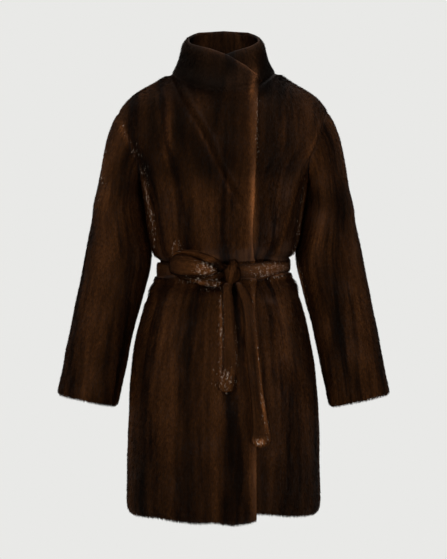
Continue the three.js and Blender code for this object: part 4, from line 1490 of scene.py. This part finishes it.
# The body, the sleeves and the collar: grid, number of hairs, the sheet's flat size in metres, how it is
# held, and the share of that size which the shaped piece fills
PANELS = {
    "back": (body_grid("back"), 140000, (0.60, 0.92), "hung", 0.86),
    "right_front": (body_grid("over"), 145000, (0.46, 0.92), "hung", 0.82),
    "left_front": (body_grid("under"), 88000, (0.44, 0.92), "hung", 0.82),
    "right_sleeve": (sleeve_grid(-1), 98000, (0.44, 0.60), "hung", 0.86),
    "left_sleeve": (sleeve_grid(1), 98000, (0.44, 0.60), "hung", 0.86),
    "collar": (collar_grid(), 80000, (0.78, 0.12), "folded", 0.75),
}
for name, (grid, count, flat, held, share) in PANELS.items():
    is_collar = name == "collar"
    skin = shell(name + "_skin", name, grid, lined=not is_collar)
    faces = skin_patches(grid, whole_inside=is_collar)
    kind = {"rise": COLLAR_HAIR_RISE, "material": COLLAR_FUR} if is_collar else {}
    fur = hair(name + "_fur", faces, count, **kind)

# The belt: each strap's solid, its stations, its hairs and the flat size of those that are sheets
STRAPS = {
    "belt": ("belt", belt_stations(), 26000, (0.74, 0.036)),
    "bow_fold": ("belt_bow", tied_stations(BOW_FOLD, 3.4), 13000, None),
    "bow_tuft": ("belt_bow", tied_stations(BOW_TUFT, 3), 5000, None),
    "belt_bow": ("belt_bow", tied_stations(BOW_LOOP, 3.6), 22000, (0.27, 0.026)),
    "knot_turn": ("belt_knot", tied_stations(KNOT_TURN, 3.2, True), 4000, None),
    "belt_short_end": ("belt_short_end", hanging_stations(SHORT_END), 15000, (0.22, 0.029)),
    "belt_long_end": ("belt_long_end", hanging_stations(LONG_END), 19000, (0.34, 0.030)),
}
bow_pieces = []
for name, (node_name, stations, count, flat) in STRAPS.items():
    place = strap_grid(stations)
    normal = grid_normals(place)
    length = along_rows(stations[0][:, None], 0)
    share = np.linspace(0, 1, place.shape[1])
    pelt = np.stack(np.broadcast_arrays(share * 2, length / PELT_UNIT), -1)
    strap = tube(name + "_skin", node_name, place, pelt)
    nap = np.gradient(place, axis=0)
    faces = [patch(place, normal, nap, pelt, PELT_STRIP["strap"], np.zeros(place.shape[:2]))]
    sweep = 26 if name == "bow_tuft" else 6
    fur = hair(name + "_fur", faces, count, sweep=sweep, **STRAP_HAIR)
    if name in ("bow_fold", "bow_tuft"):
        bow_pieces += [strap, fur]

place = knot_grid()
fall = np.linspace(0, 0.6, place.shape[0])
pelt = np.stack(np.broadcast_arrays(np.linspace(0, 2, place.shape[1])[None, :], fall[:, None]), -1)
knot = tube("belt_knot_skin", "belt_knot", place, pelt)
nap = np.broadcast_to([0.0, 0.0, -1.0], place.shape)
faces = [patch(place, grid_normals(place), nap, pelt, PELT_STRIP["strap"], np.zeros(place.shape[:2]))]
hair("belt_knot_fur", faces, 8000, **KNOT_HAIR)
